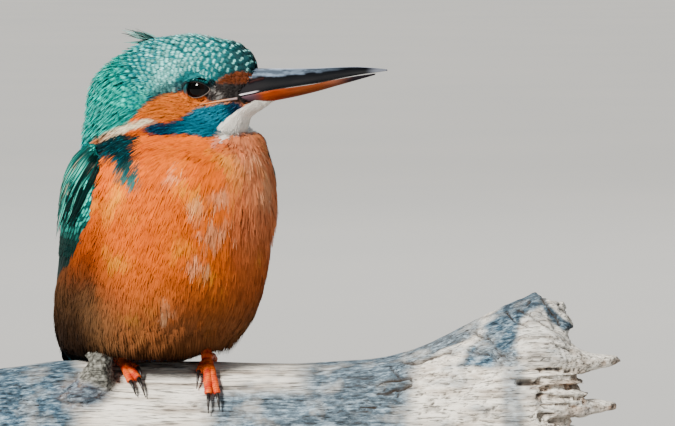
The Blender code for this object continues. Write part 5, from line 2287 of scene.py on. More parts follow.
class Eye:
    """An eye deep in the head, with its lids."""

    WIDE, AHEAD, ABOVE, BELOW = 2.85, 3.4, 1.95, 2.2

    def __init__(self, name: str, side: int) -> None:
        """Finds the eye, by its solid's name. side is 1 on the left and -1 on the right."""
        self.name, self.side = name, side
        self.middle = HEAD.local(middle_of(name)[None])[0]

    def halves(self, turn: Array) -> tuple[Array, Array]:
        """The opening's half width and half height, by the turn round it in radians."""
        ahead, above = np.cos(turn) > 0, np.sin(turn) > 0
        return np.where(ahead, self.AHEAD, self.WIDE), np.where(above, self.ABOVE, self.BELOW)

    def ball(self) -> None:
        """The eyeball, with a clear bulge over its iris."""
        rings, sides = 40, 48
        turn = np.linspace(0, math.pi, rings)[:, None]
        around = np.linspace(0, 2 * math.pi, sides, endpoint=False)[None]
        radius = EYE_RADIUS * (0.985 + 0.015 * rise(0.75, 0.45, turn))
        local = np.stack(np.broadcast_arrays(
            radius * np.sin(turn) * np.cos(around), self.side * radius * np.cos(turn),
            radius * np.sin(turn) * np.sin(around)), axis=-1).reshape(-1, 3)
        out = np.repeat(np.degrees(turn[:, 0]), sides)
        colours = mix(linear(2, 2, 2), linear(14, 8, 6), rise(26, 29, out) * rise(46, 43, out))
        thing = write_mesh(self.name + "_wet", HEAD.world(self.middle + local),
                           grid_faces(rings, sides, closed=True), colours)
        settle(thing, (self.name,), Finishes.EYE)

    def lids(self) -> None:
        """A soft rim that follows the ball and runs under the feathers."""
        shares = np.array((0.93, 0.96, 0.98, 1.01, 1.04, 1.08, 1.15, 1.28))
        lifts = np.array((-0.06, 0.08, 0.14, 0.13, 0.0, -0.5, -1.3, -2.3))
        sides = 84
        turn = np.linspace(0, 2 * math.pi, sides, endpoint=False)[None]
        pinch = 1 + 0.08 * np.abs(np.cos(turn)) ** 7
        wide, tall = self.halves(turn)
        dx = wide * pinch * shares[:, None] * np.cos(turn)
        dz = tall * shares[:, None] * np.sin(turn)
        wrinkle = 0.05 * np.sin(30 * turn) * (shares[:, None] > 1.02)
        reach = (EYE_RADIUS + lifts[:, None] + wrinkle) ** 2 - dx**2 - dz**2
        out = np.sqrt(np.maximum(reach, 1.0))
        local = np.stack((dx, self.side * out, dz), axis=-1).reshape(-1, 3)
        points = HEAD.world(self.middle + local)
        ring = np.repeat(shares, sides)
        ahead, up = (np.tile(part(turn[0]), len(shares)) for part in (np.cos, np.sin))
        rim = mix(linear(104, 100, 98), linear(140, 122, 110), 0.7 * rise(-0.2, 0.9, ahead * 0.8 - up))
        # Painted shade under the brow: the top of the rim and of the rings round it is darkened.
        rim = mix(rim, linear(16, 15, 15), rise(0.2, 0.7, up))
        around = mix(markings(points) * 0.5, Ink.SLATE * 0.45, 0.85 * rise(-0.5, 0.1, up))
        colours = mix(rim, around, rise(1.0, 1.05, ring))
        colours = mix(colours, linear(12, 11, 11), rise(0.0, 0.5, up) * rise(1.16, 1.07, ring))
        colours = mix(colours, linear(12, 9, 8), rise(0.985, 0.955, ring))
        faces = grid_faces(len(shares), sides, closed=True)
        thing = write_mesh(self.name.replace("eye", "eyelids"), points, faces, colours)
        settle(thing, (), Finishes.LID)

    def fringe(self, skin: Surface) -> None:
        """The smallest feathers, from the lids' edge out over the coat.

        Args:
            skin: The skin that they lie on.
        """
        rng = np.random.default_rng(80 + self.side)
        count, rows = 90, (1.0, 1.07, 1.15)
        turn = np.tile(np.linspace(0, 2 * math.pi, count, endpoint=False), len(rows))
        turn = (turn + rng.normal(0, 0.03, len(turn)))[:, None]
        t = np.linspace(0, 1, 4)[None]
        share = np.repeat(rows, count)[:, None] + 0.34 * t
        turn = turn + 0.3 * np.sin(turn) * t
        wide, tall = self.halves(turn)
        dx = wide * (1 + 0.12 * np.abs(np.cos(turn)) ** 7) * share * np.cos(turn)
        dz = tall * share * np.sin(turn)
        out = np.sqrt(np.maximum((EYE_RADIUS + 0.14) ** 2 - dx**2 - dz**2, 1.0))
        local = self.middle + np.stack((dx, self.side * out, dz), axis=-1)
        aim = Vector(HEAD.turned(np.array((0.0, -self.side, 0.0))))
        for path in local:
            for k in range(1, 4):
                above = HEAD.world(path[k] + np.array((0.0, self.side * 12.0, 0.0)))
                hit = skin.tree.ray_cast(Vector(above), aim)[0]
                if hit is not None:
                    level = self.side * HEAD.local(np.array(hit))[1] + 0.25 + 0.15 * k
                    path[k, 1] = self.side * max(level, self.side * path[k - 1, 1] - 0.5)
        places = HEAD.world(local)
        lean = np.stack((dx / 9, self.side + 0 * dx, dz / 9), axis=-1)
        paths = Paths(places, unit(HEAD.turned(lean)), baked(skin, places[:, 0]))
        form = barbed(5, 2, 0.3, 0.3, 0.3, rng, 1.5)
        base = markings(places[:, -1])
        # Painted shade under the brow: the fringe feathers above the eye are darkened.
        brow = rise(-0.4, 0.2, np.sin(turn[:, 0])) * rise(1.52, 1.38, share[:, -1])
        base = mix(base, Ink.SLATE * 0.5, 0.85 * brow)
        coat = Feathers(self.name.replace("eye", "fringe"), "plumage_teal", Finishes.SILKY)
        colours = patterned(Pattern.PLAIN, base, base * 1.3, form, rng, 0.45, 0.25)
        coat.add(paths, form, 0.32, (0.02, 0.12), colours)
        coat.write()


# X from the bird, crest, underside and half depth of the branch.
BRANCH_SECTIONS = (
    (-50, -3.0, -35.5, 16.4), (-28, 0.0, -37.4, 18.4), (0, 0.0, -38.0, 19.0), (42, 0.2, -38.4, 19.6),
    (60, 2.2, -39.0, 20.2), (76, 7.6, -39.6, 21.4), (90, 14.6, -40.0, 22.6), (97, 16.4, -39.4, 22.8),
    (102, 12.0, -36.5, 20.4), (106, 5.0, -31.0, 15.0),
)
PERCH = np.array((BIRD[0], 0.0, BIRD[2]))


def branch_wave(x: Array, turn: Array) -> Array:
    """How far the branch swells and dips round its section, as a share of its size."""
    return 1 + 0.35 / 19 * (np.sin(3 * turn + x / 11) + 0.7 * np.sin(5 * turn - x / 17 + 1))


def branch_surface(x: Array, turn: Array, lift: Array | float) -> Array:
    """Places over the branch's plain form: X from the bird, radians from its crest towards -Y.

    Args:
        x: X from the bird, in mm.
        turn: Radians round the section, from its crest towards -Y.
        lift: How far outside the surface, in mm.

    Returns:
        The places.
    """
    x, turn = np.broadcast_arrays(np.asarray(x, dtype=float), turn)
    top, bottom, deep = (column.reshape(x.shape) for column in curve(BRANCH_SECTIONS, x.ravel()))
    wave, tall = branch_wave(x, turn), (top - bottom) / 2
    return PERCH + np.stack((x, -(deep * wave + lift) * np.sin(turn),
                             (top + bottom) / 2 + (tall * wave + lift) * np.cos(turn)), axis=-1)


@dataclass(frozen=True)
class Foot:
    """A foot on the branch: its ankle, hip and toes, as X from the bird and degrees round."""

    side: str
    ankle: tuple
    hip: tuple
    toes: dict
    claws: dict

    RADII = {"hind": 1.15, "inner": 1.1, "middle": 1.3, "outer": 1.15}
    LEAN = {"hind": 0.0, "inner": 0.25, "middle": 0.05, "outer": 0.12}
    TAPER = 0.84

    def toe(self, name: str) -> tuple[Array, list, Array]:
        """A toe with its scutes, and how deep each point is between them.

        Args:
            name: The toe's name.

        Returns:
            Its points, its faces and the groove at each point.
        """
        tip, radius = self.toes[name], self.RADII[name]
        start = (self.ankle[0] + self.LEAN[name] * (tip[0] - self.ankle[0]), self.ankle[1])
        t = np.linspace(0, 1, 110)
        path = branch_surface(start[0] + (tip[0] - start[0]) * t,
                              np.radians(start[1] + (tip[1] - start[1]) * t),
                              radius * 1.12 + (radius * self.TAPER - radius * 1.12) * t)
        length = np.linalg.norm(path[-1] - path[0])
        phase = (t * length / 0.62) % 1
        pads = 1 + 0.06 * np.cos(6 * math.pi * t)
        end = np.sqrt(np.clip(1 - rise(0.93, 1.0, t) ** 2 * 0.75, 0, 1))
        radii = radius * (1 + (self.TAPER - 1) * t) * pads * end * (0.93 + 0.09 * phase)
        points, faces = tube(path, radii, 20, 0.92)
        groove = np.repeat(rise(0.22, 0.0, phase), 20)
        return points, faces, groove

    def build(self) -> None:
        """Writes the leg with its toes, and the claws."""
        parts, grooves = [], []
        for name in self.RADII:
            points, faces, groove = self.toe(name)
            parts.append((points, faces))
            grooves.append(groove)
        ankle = branch_surface(self.ankle[0], math.radians(self.ankle[1]), 1.5)
        t = np.linspace(0, 1, 40)
        path = ankle + t[:, None] * np.array(self.hip)
        phase = (t * 7) % 1
        shank = tube(path, (1.5 - 0.15 * t) * (0.95 + 0.07 * phase), 20)
        parts.append(shank)
        grooves.append(np.repeat(rise(0.2, 0.0, phase) * 0.7, 20))
        points, faces = joined(parts)
        thing = write_mesh(f"{self.side}_foot_skin", points, faces, values={"Scute": np.concatenate(grooves)})
        settle(thing, (f"leg_{self.side}", f"foot_{self.side}"), Finishes.FOOT)
        for name in self.RADII:
            self.claw(name)

    def claw(self, name: str) -> None:
        """One curved claw.

        Args:
            name: Its toe's name.
        """
        tip, end = self.toes[name], self.claws[name]
        t = np.linspace(0, 1, 26)
        begin = self.RADII[name] * self.TAPER
        lift = begin * (1 - t) + 0.43 * t + 0.7 * np.sin(math.pi * np.minimum(1, 1.15 * t)) + 0.1
        path = branch_surface(tip[0] + (end[0] - tip[0]) * t,
                              np.radians(tip[1] + (end[1] - tip[1]) * t), lift)
        points, faces = tube(path, 0.60 - 0.50 * t**1.1, 16)
        thing = write_mesh(f"{self.side}_{name}_claw", points, faces)
        settle(thing, (f"claw_{self.side}_{name}",), Finishes.CLAW)


FEET = (
    Foot("right", (-12.2, 19), (1.6, 6.5, 8.0),
         {"hind": (-14.0, -17), "inner": (-7.6, 27), "middle": (-7.2, 40), "outer": (-9.2, 43)},
         {"hind": (-14.6, -31), "inner": (-6.0, 40), "middle": (-5.2, 56), "outer": (-7.6, 55)}),
    Foot("left", (10.4, 19), (-1.2, 6.0, 8.5),
         {"hind": (12.0, -17), "inner": (8.4, 31), "middle": (11.0, 53), "outer": (13.3, 52)},
         {"hind": (12.6, -31), "inner": (7.9, 47), "middle": (11.0, 68), "outer": (13.9, 65)}),
)


# ---------------------------------------------------------------------------------------------
# Branch, stand and stage


@dataclass(frozen=True)
class Wear:
    """Marks on the branch, with a value for each point."""

    # Places from the crest under the bird, in mm.
    local: Array
    # From 0 to 1: how far round the front, on the cut end, on the torn end and on the knot.
    in_front: Array
    cut: Array
    torn: Array
    knot: Array
    # From -1 to 1.
    grain: Array
    # From 0 to 1.
    deep: Array
    fine: Array
    cracks: Array
    # Depths in mm.
    split: Array


@dataclass(frozen=True)
class Branch:
    """A dead branch, bleached and cracked along its grain, torn off at one end."""

    voxel: float = 0.57
    sections: tuple = BRANCH_SECTIONS[:4] + (
        (60, 2.5, -39.0, 20.2), (68, 5.1, -39.3, 20.8), (76, 8.6, -39.6, 21.4), (84, 12.2, -39.8, 22.0),
        (89, 14.5, -40.0, 22.2), (93, 16.2, -39.8, 22.0), (96.6, 17.3, -38.4, 20.5),
        (98.8, 14.6, -36.0, 17.0), (100.4, 9.0, -33.0, 13.5), (101.4, 2.0, -27.0, 8.0),
    )
    # Torn boards and slivers, each a row of X, Y, Z from the crest, half depth and half height.
    boards: tuple = (
        ((84, -10, 0.6, 8, 5), (97, -12, 3, 8.6, 6.2), (101.5, -12, 3.0, 7.6, 5.6),
         (104.5, -11.6, 1.9, 6.6, 4.5), (107, -11, 1.1, 5.6, 3.5), (110, -10.5, 0.8, 4.4, 2.6),
         (113, -10, 0.9, 3.2, 2.0), (116, -9, 1.0, 2.2, 1.5), (117.0, -8.5, 1.1, 1.6, 1.1),
         (117.7, -8.5, 1.1, 0.8, 0.6)),
        ((86, -13, -2.0, 7, 0.8), (101, -13, -1.9, 7, 0.8), (105, -13, -1.9, 5, 0.7),
         (108.2, -13, -1.8, 3, 0.5)),
        ((86, -13, -4.1, 7, 1.05), (101, -13, -4.1, 7, 1.0), (105, -13, -4.1, 5, 0.9),
         (108.0, -13, -4.2, 3, 0.6)),
        ((86, -13, -6.7, 7, 1.2), (101, -13, -6.6, 7, 1.1), (105, -13, -6.8, 5, 0.9),
         (109.0, -13, -7.1, 2.6, 0.5)),
        ((86, -13, -9.1, 7, 1.0), (101, -13, -9.1, 7, 0.95), (105, -13, -9.0, 5, 0.8),
         (108.4, -13, -8.9, 3, 0.5)),
        ((88, -12, -11.6, 8, 1.7), (102, -12, -11.6, 7.4, 2.5), (107, -11, -11.4, 5.5, 2.7),
         (111, -10, -11.0, 3.8, 2.2), (114.4, -9, -11.0, 2.8, 1.6), (116.6, -8, -11.0, 1.8, 1.2),
         (117.4, -8, -11.0, 0.9, 0.6)),
        ((86, -12, -15, 8, 1.5), (99, -13, -15, 7, 1.4), (102, -12, -15.2, 5, 1.2),
         (104.4, -12, -15.4, 3, 0.8)),
        ((86, -11, -19.4, 8, 2.4), (101, -11, -20, 6, 2.0), (105, -10, -20.4, 3, 1.0)),
        ((86, -6, -26.4, 9, 3.4), (101, -6, -27.5, 6, 2.4), (106.6, -6, -28.3, 2.6, 1.0)),
        ((86, 8, -2, 6, 3), (104, 9.5, -2.5, 4, 2), (111, 10, -2, 1.6, 0.8)),
        ((86, 11, -9, 6, 2.6), (101, 12, -9.5, 4, 2.0), (106, 12, -9.8, 2, 1.2)),
        ((86, 11, -18, 6, 3), (104, 10, -19, 4, 2.2), (109.2, 9, -19.5, 1.8, 1.0)),
        ((86, 2, -12, 6, 3), (103, 2, -12.5, 4, 2.2), (107.2, 1, -12.5, 1.8, 1.0)),
        ((97, -3, 12.4, 2.6, 2.4), (101.6, -3.5, 14.6, 1.2, 1.0), (103.8, -4, 16.0, 0.6, 0.5)),
    )
    # Lumps of the broken crest: X, Y, Z from the crest and radius.
    lumps: tuple = (
        (96.4, -4, 14.4, 3.4), (98.9, -5, 13.6, 3.3), (100.3, -3, 12.2, 3.7), (102.6, -6, 11.0, 3.0),
        (101.4, -8, 8.4, 3.4), (98.6, 3, 11.6, 4.2), (100.2, 8, 7.2, 4.2), (97.4, -10, 9.2, 3.6),
        (99.0, 12, 0, 5.0), (104.2, -6, 11.8, 1.5),
    )
    # Splits between the boards: from X, to X, Z, half height and depth.
    slots: tuple = (
        (90.5, 107, -0.85, 0.10, 1.6), (89.5, 96.5, -3.7, 0.45, 2.6), (95, 108, -2.7, 0.05, 0.9),
        (93, 107, -5.3, 0.08, 1.2), (95.2, 98.8, -7.2, 0.4, 2.0), (98, 108, -8.1, 0.06, 0.9),
        (91, 106, -9.9, 0.06, 0.9), (95.5, 99.5, -12.4, 0.45, 1.3), (98, 106, -14.0, 0.1, 1.0),
        (91, 104, -17.2, 0.15, 1.3), (90, 103, -23.2, 0.2, 1.5), (84, 93, -18.5, 0.12, 0.8),
        (44.5, 53.0, -11.2, 0.14, 0.7), (46.5, 52.0, -12.9, 0.2, 0.8), (-2, 7, -17.0, 0.08, 0.4),
        (17, 31, -8.6, 0.06, 0.4), (30, 44, -16.2, 0.08, 0.4), (-44, -24, -9.6, 0.1, 0.6),
        (62, 80, -9.4, 0.08, 0.5), (66, 84, 1.5, 0.06, 0.4),
    )
    # Cracks over the crest, in X and Z.
    cracks: tuple = (
        ((97.4, 16.8), (98.6, 14.8), (100.0, 12.9), (102.0, 11.0)),
        ((100.2, 7.2), (101.2, 5.9), (102.6, 5.1), (104.8, 4.4)),
        ((91.0, 14.4), (93.4, 13.4), (96.0, 12.1), (99.6, 9.8)),
        ((88, 13.4), (90.4, 11.4), (93.0, 10.2)),
        ((80.0, 8.6), (84.0, 6.6), (87.4, 2.4)),
        ((78.0, 4.2), (83.0, 3.0), (86.6, 0.8)),
    )
    # The dark seam that falls from the crest's peak.
    seam: tuple = ((97.2, 17.4), (98.8, 14.4), (101.2, 11.8), (103.8, 9.8))
    # Dark lines round the old knot hole under the rise of the crest, in X and Z.
    hole: tuple = (
        ((52.2, -3.9), (54.5, -4.4), (55.8, -3.6), (58.2, -3.4), (60.2, -3.1), (62.8, -2.6), (63.5, -3.3)),
        ((58.2, -0.8), (59.5, -1.6), (60.2, -2.8)),
        ((56.6, -6.9), (58.7, -6.8)),
        ((60.2, -5.9), (59.8, -7.3)),
        ((54.7, -6.8), (56.8, -6.4), (59.2, -5.6), (61.8, -5.1), (63.0, -4.6)),
        ((50.2, -10.2), (54.0, -10.1)),
        ((47.5, -11.4), (51.9, -11.3)),
        ((61.5, 1.0), (63.5, 0.7), (65.8, 0.9), (67.4, 1.7), (70.6, 3.0), (73.5, 3.7)),
    )
    knot: tuple = (-17.2, 35.0)
    # Lumps that make up the knot: how far along and round from it, how far out, and radius.
    swellings: tuple = (
        (-0.8, 6, 0.0, 4.6), (-0.2, 1, 2.4, 3.7), (0.2, -2, 4.6, 3.2), (-2.6, 12, -1.8, 5.0),
        (-5.6, 20, -3.2, 5.0),
    )
    crumbs: int = 46

    @staticmethod
    def board(rows: tuple) -> tuple[Array, list]:
        """One torn board, a loft of rounded slabs.

        Args:
            rows: The board's rows.

        Returns:
            Its points and its faces.
        """
        at = [row[0] for row in rows]
        x = np.linspace(at[0], at[-1], 40)
        y, z, deep, tall = (column[:, None] for column in curve(rows, x))
        turn = np.linspace(0, 2 * math.pi, 24, endpoint=False)[None]
        cos, sin = (np.sign(part(turn)) * np.abs(part(turn)) ** 0.7 for part in (np.cos, np.sin))
        points = np.stack(np.broadcast_arrays(x[:, None], y + deep * cos, z + tall * sin), axis=-1)
        return PERCH + points.reshape(-1, 3), capped(*points.shape[:2])

    @staticmethod
    def ball(centre: Array, radius: float) -> tuple[Array, list]:
        """A closed ball.

        Args:
            centre: Its middle.
            radius: Its radius, in mm.

        Returns:
            Its points and its faces.
        """
        up = np.linspace(0.02, math.pi - 0.02, 14)[:, None]
        around = np.linspace(0, 2 * math.pi, 20, endpoint=False)[None]
        ball = np.stack(np.broadcast_arrays(np.sin(up) * np.cos(around), np.sin(up) * np.sin(around),
                                            np.cos(up)), axis=-1)
        return centre + radius * ball.reshape(-1, 3), capped(*ball.shape[:2])

    def log(self) -> tuple[Array, list]:
        """The branch's body, ending in the break.

        Returns:
            Its points and its faces.
        """
        x = np.concatenate((np.linspace(-50, 92, 150), np.linspace(92.5, 101.4, 24)))
        turn = np.linspace(0, 2 * math.pi, 120, endpoint=False)[None]
        top, bottom, deep = (column[:, None] for column in curve(self.sections, x))
        wave = branch_wave(x[:, None], turn)
        level = (top + bottom) / 2 + (top - bottom) / 2 * wave * np.cos(turn)
        points = np.stack(np.broadcast_arrays(x[:, None], -deep * wave * np.sin(turn), level), axis=-1)
        return PERCH + points.reshape(-1, 3), capped(*points.shape[:2])

    def rough(self) -> bpy.types.Object:
        """All of its parts, grown together.

        Returns:
            The branch, before its surface is worn.
        """
        rng = np.random.default_rng(91)
        parts = [self.log()] + [self.board(rows) for rows in self.boards]
        parts += [self.ball(PERCH + np.array(lump[:3]), lump[3]) for lump in self.lumps]
        x, turn = self.knot
        for along, round_by, lift, size in self.swellings:
            parts.append(self.ball(branch_surface(x + along, math.radians(turn + round_by), lift), size))
        for _ in range(self.crumbs):
            spot = branch_surface(x + rng.normal(0, 1.4), math.radians(turn + rng.normal(0, 4.5)),
                                  rng.uniform(1.5, 6.4))
            parts.append(self.ball(spot, rng.uniform(0.5, 1.0)))
        thing = write_mesh("driftwood_rough", *joined(parts))
        bpy.ops.object.select_all(action="DESELECT")
        thing.select_set(True)
        bpy.context.view_layer.objects.active = thing
        fuse(thing, self.voxel, 3)
        return thing

    def build(self) -> None:
        """Writes the branch."""
        thing = self.rough()
        mesh = thing.data
        points, normals = points_and_normals(mesh)
        wear = self.wear(points)
        points = points + normals * (self.relief(points, wear) * (1 - wear.cut))[:, None]
        ends = wear.torn * rise(0.4, 0.9, normals[:, 0])
        points[:, 0] += ends * 1.2 * layered(points, (300.0, 1.1, 1.1), 2, 57)
        corners = np.empty(len(mesh.loops), dtype=int)
        mesh.loops.foreach_get("vertex_index", corners)
        bpy.data.objects.remove(thing)
        made = write_mesh("driftwood", points, corners.reshape(-1, 4), values=self.stains(points, wear, ends))
        settle(made, ("perch_branch",), Finishes.WOOD)

    def wear(self, points: Array) -> Wear:
        """Where weather and breaks have marked the wood.

        Args:
            points: The rough branch's points, in mm.

        Returns:
            The marks at each point.
        """
        local = points - PERCH
        x, flat = local[:, 0], local[:, (0, 2)]
        in_front = rise(0.0, -3.0, local[:, 1])
        line = np.abs(layered(points, (90.0, 3.0, 3.0), 2, 41))
        deep = rise(0.03, 0.0, line) * rise(0.1, 0.4, noise(points, (19.0, 4.0, 4.0), 43))
        fine = rise(0.07, 0.0, np.abs(noise(points, (22.0, 1.3, 1.3), 47)))
        fine = fine * rise(-0.1, 0.4, noise(points, 8.0, 48))
        wobble = noise(points, (9.0, 3.0, 3.0), 61) + 0.5 * noise(points, (2.5, 1.5, 1.5), 62)
        cracks = rise(0.42, 0.1, self.near_lines(flat + 0.35 * noise(points, 2.4, 63)[:, None], self.cracks))
        hole = rise(0.55, 0.12, self.near_lines(flat + 0.3 * noise(points, 1.6, 64)[:, None], self.hole))
        cracks = np.maximum(cracks, hole) * in_front
        split = np.maximum(self.splits(local, wobble) * in_front, 0.7 * cracks)
        return Wear(local, in_front, rise(-49.2, -49.8, x), rise(86, 98, x), self.near_knot(points),
                    layered(points, (22.0, 1.5, 1.5), 4, 31), deep, fine, cracks, split)

    @staticmethod
    def relief(points: Array, wear: Wear) -> Array:
        """How far the worn surface stands off the rough one.

        Args:
            points: The rough branch's points, in mm.
            wear: The marks at each.

        Returns:
            A lift for each point, in mm.
        """
        x, z = wear.local[:, 0], wear.local[:, 2]
        lumpy = layered(points, 3.0, 3, 33)
        crest = rise(88, 97, x) * rise(3.0, 7.0, z)
        lift = -0.25 + 0.26 * wear.grain + 0.30 * noise(points, (17.0, 9.0, 9.0), 35)
        lift = lift - 0.9 * wear.deep - 0.3 * wear.fine
        splinters = 0.35 * layered(points, (10.0, 0.9, 0.9), 3, 53)
        lift = lift + wear.torn * (splinters + crest * 0.9 * lumpy - 0.1)
        crust = 0.7 * layered(points, (1.3, 1.3, 1.6), 3, 77)
        return lift * (1 - wear.knot) + wear.knot * crust - wear.split

    def stains(self, points: Array, wear: Wear, ends: Array) -> dict[str, Array]:
        """The values that the wood's material reads, each from 0 to 1.

        Args:
            points: The worn branch's points, in mm.
            wear: The marks at each.
            ends: How far each is on a torn end.

        Returns:
            The values by name.
        """
        x, y, z = wear.local.T
        rings = 0.4 * wear.cut * (0.5 + 0.5 * np.sin(4.2 * np.hypot(y, z + 19)))
        # grey holds grey weathering and painted shade alike.
        grey, ridge = self.greying_and_shade(wear.local, layered(points, (9.0, 4.0, 4.0), 3, 67))
        scar = rise(1.2, 0.6, np.hypot((x - 60.0) / 4.4, (z + 4.6) / 1.9)) * wear.in_front
        scar = scar * rise(-0.4, 0.5, layered(points, (2.0, 0.9, 0.9), 3, 69))
        # Painted shadow round the foot of the knot: the wood there is darkened and greyed.
        foot = branch_surface(self.knot[0] - 4, math.radians(50), 0)
        base = rise(7.5, 3.5, np.linalg.norm((points - foot) / (1.3, 1, 1), axis=1))
        brown = np.maximum(rise(-5.5, -5.0, z) * rise(-2.8, -3.2, z) * rise(91, 95, x),
                           rise(-14.5, -13.5, z) * rise(-10, -10.6, z) * rise(102, 105, x))
        # The split term is painted shade in the recesses: the deeper a split, the darker it is painted, on
        # top of the dark crack lines.
        dark = 0.8 * wear.deep + 0.7 * wear.fine + rings + 0.85 * rise(0.7, 2.4, wear.split)
        dark = dark + 0.5 * scar + 0.8 * wear.cracks + 0.32 * rise(0.5, 1.0, ridge)
        fresh = wear.torn * rise(0.25, 0.8, wear.split + ends + 0.5 * (wear.grain < -0.25))
        fresh = fresh * rise(4.0, 0.0, z) + 0.75 * brown
        return {
            "Crack": np.clip(dark, 0, 1),
            "Broken": np.clip(fresh + 0.5 * base * (1 - wear.knot), 0, 1),
            "Lichen": wear.knot,
            "Grey": np.maximum(grey, base) * (1 - 0.6 * wear.knot),
        }

    @staticmethod
    def near_lines(flat: Array, lines: tuple) -> Array:
        """How far places of a plane are from the nearest of some lines."""
        return np.min([beside(flat, line) for line in lines], axis=0)

    def greying_and_shade(self, local: Array, drift: Array) -> tuple[Array, Array]:
        """Where the wood is grey-blue: partly grey weathering, and partly painted shade in patches that stand
        for shadow on the branch.

        Args:
            local: Places from the crest under the bird, in mm.
            drift: Noise that makes the edges uneven.

        Returns:
            How grey each place is, and how near the grey of the broken crest it is, both from 0 to 1.
        """
        x, z = local[:, 0], local[:, 2]
        left = rise(-19, -26, x + 3 * drift)
        middle = rise(6, 15, x + 4 * drift) * rise(67, 60, x + 3 * drift)
        middle = middle * np.maximum(rise(28, 40, x), rise(-3, -9, z + drift))
        edges = ((75, 79, 84.5, 87), (90.8, 90.4, 92, 95))
        start, end = (np.interp(z, (0, 6, 12, 15), edge) for edge in edges)
        band = rise(-1.5, 1.5, x - start + 2 * drift) * rise(1.5, -1.0, x - end + 1.5 * drift)
        band = band * rise(-0.6, 0.8, z + drift)
        band = np.maximum(band, 0.7 * rise(85, 88, x) * rise(94, 91, x + 2 * drift) * rise(2, 0, z))
        top = np.interp(x, (60, 68, 76, 84, 89, 93, 96.6), (2.5, 5.1, 8.6, 12.2, 14.5, 16.2, 17.5))
        ridge = rise(4.2, 1.6, top - z + drift) * rise(84, 89, x) * rise(98.6, 97.6, x)
        ridge = np.maximum(ridge, rise(1.7, 0.7, beside(local[:, (0, 2)], self.seam) + 0.6 * drift))
        peak = rise(90, 93, x) * rise(100, 98, x + 0.4 * (z - 12)) * rise(9, 12, z)
        ridge = np.maximum(ridge * rise(3.0, 0.0, local[:, 1]), 0.45 * peak)
        strip = 0.9 * rise(3.4, 2.2, top - z + 0.6 * drift) * rise(58, 63, x) * rise(84, 80, x)
        haze = 0.3 * rise(86, 90, x) * rise(106, 102, x) * rise(-0.5, 1.5, z)
        spots = 0.5 * rise(0.1, 0.5, drift)
        return np.maximum.reduce((left, 0.95 * middle, band, ridge, haze, strip, spots)), ridge

    def splits(self, local: Array, wobble: Array) -> Array:
        """How deep the splits between the boards cut, in mm.

        Args:
            local: Places from the crest under the bird, in mm.
            wobble: Noise that bends the splits.

        Returns:
            A depth for each place.
        """
        deep = np.zeros(len(local))
        for begin, end, level, half, cut in self.slots:
            run = np.clip((local[:, 0] - begin) / (end - begin), 0, 1)
            half = half * (0.35 + 0.75 * np.sin(math.pi * run**0.7))
            across = np.abs(local[:, 2] - level - 0.5 * wobble)
            along = rise(begin, begin + 1.6, local[:, 0]) * rise(end + 1.5, end, local[:, 0])
            deep = np.maximum(deep, cut * rise(half + 0.35, half - 0.05, across) * along)
        return deep

    def near_knot(self, points: Array) -> Array:
        """1 on the crusted knot, fading out round it."""
        knot = branch_surface(self.knot[0], math.radians(self.knot[1]), 3.6)
        away = np.linalg.norm((points - knot) / (1.1, 1.0, 1.15), axis=1)
        return rise(6.4, 4.9, away + 0.8 * layered(points, 2.2, 2, 71))


class Stand:
    """The plain display stand, shown by its own solids."""

    FINISHES = {"stand_base": Finishes.STAND_WOOD, "stand_rod_left": Finishes.BRASS,
                "stand_rod_right": Finishes.BRASS}

    def dress(self) -> None:
        """Gives each solid its material."""
        for name, finish in self.FINISHES.items():
            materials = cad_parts[name].data.materials
            materials.clear()
            materials.append(finish.material)
            LOG.info("%s: dressed", name)


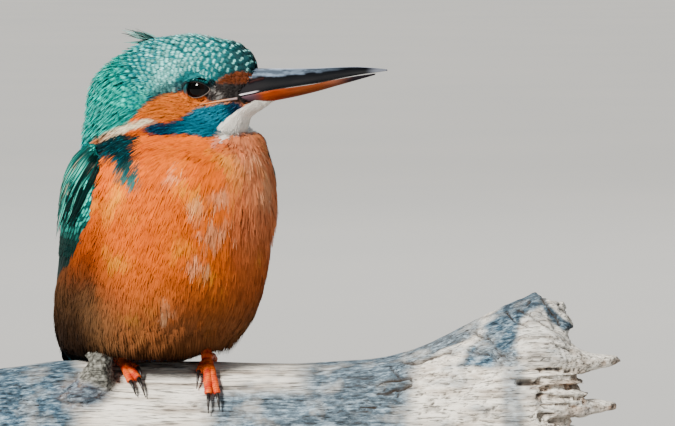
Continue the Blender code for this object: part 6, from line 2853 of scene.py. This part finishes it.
class Stage:
    """The floor, the lights and the camera."""

    AIM = Vector((17.3, -4.0, 107.0)) * MM
    VIEW_WIDTH = 175.5 * MM
    LENS = 250.0
    SENSOR = 36.0
    RISE = math.radians(3.5)
    FLOOR = 15.0

    def set(self) -> None:
        """Builds the stage."""
        bpy.ops.mesh.primitive_plane_add(size=2 * self.FLOOR)
        floor = bpy.context.object
        floor.name = "floor"
        floor.data.materials.append(Finishes.FLOOR.material)
        world = bpy.data.worlds.new("studio")
        world.use_nodes = True
        world.node_tree.nodes["Background"].inputs["Color"].default_value = (0.84, 0.90, 1.0, 1)
        world.node_tree.nodes["Background"].inputs["Strength"].default_value = 0.2
        bpy.context.scene.world = world
        key = self.light("key", "SUN", (-0.50, -0.68, 0.53), 8.6, (1.0, 0.95, 0.87))
        key.angle = math.radians(13)
        fill = self.light("fill", "AREA", (1.1, -1.2, 0.5), 2.0, (0.86, 0.93, 1.0))
        back = self.light("back", "AREA", (0.3, 1.3, 1.1), 8.0, (1.0, 0.98, 0.95))
        fill.size = back.size = 1.0
        self.camera()

    def light(self, name: str, kind: str, place: tuple, power: float, colour: Colour) -> bpy.types.Light:
        """A lamp aimed at the bird.

        Args:
            name: Its name.
            kind: What sort of lamp it is.
            place: Its place from the bird, in metres.
            power: Its power.
            colour: Its colour.

        Returns:
            The lamp's data.
        """
        data = bpy.data.lights.new(name, kind)
        data.energy, data.color = power, colour
        self.aimed(name, data, Vector(place))
        return data

    def aimed(self, name: str, data: bpy.types.ID, away: Vector) -> bpy.types.Object:
        """A lamp or a camera that looks at the bird from some metres away.

        Args:
            name: Its name.
            data: The lamp or the camera.
            away: Its place from the bird, in metres.

        Returns:
            The object.
        """
        thing = bpy.data.objects.new(name, data)
        thing.location = self.AIM + away
        thing.rotation_euler = (self.AIM - thing.location).to_track_quat("-Z", "Y").to_euler()
        bpy.context.scene.collection.objects.link(thing)
        return thing

    def camera(self) -> None:
        """The camera, low and far, in front of the branch."""
        data = bpy.data.cameras.new("camera")
        data.lens, data.sensor_width, data.clip_end = self.LENS, self.SENSOR, 60.0
        away = self.LENS / self.SENSOR * self.VIEW_WIDTH
        place = Vector((0, -math.cos(self.RISE), math.sin(self.RISE))) * away
        bpy.context.scene.camera = self.aimed("camera", data, place)


def main() -> None:
    """Builds the scene."""
    Stage().set()
    wings = [Wing(name, side) for name, side in (("wing_left", 1), ("wing_right", -1))]
    skin = Skin().build(wings)
    for number, region in enumerate(REGIONS):
        region.grow(skin, wings, 101 + number)
    Crown().grow(skin)
    for wing in wings:
        wing.grow(skin)
    Tail().grow(skin)
    Chin().grow(skin)
    Skirt().grow(skin)
    Bill().build()
    Bill().gape(skin)
    for name, side in (("eye_left", 1), ("eye_right", -1)):
        eye = Eye(name, side)
        eye.ball()
        eye.lids()
        eye.fringe(skin)
    for foot in FEET:
        foot.build()
    Branch().build()
    Stand().dress()


if __name__ == "__main__":
    main()
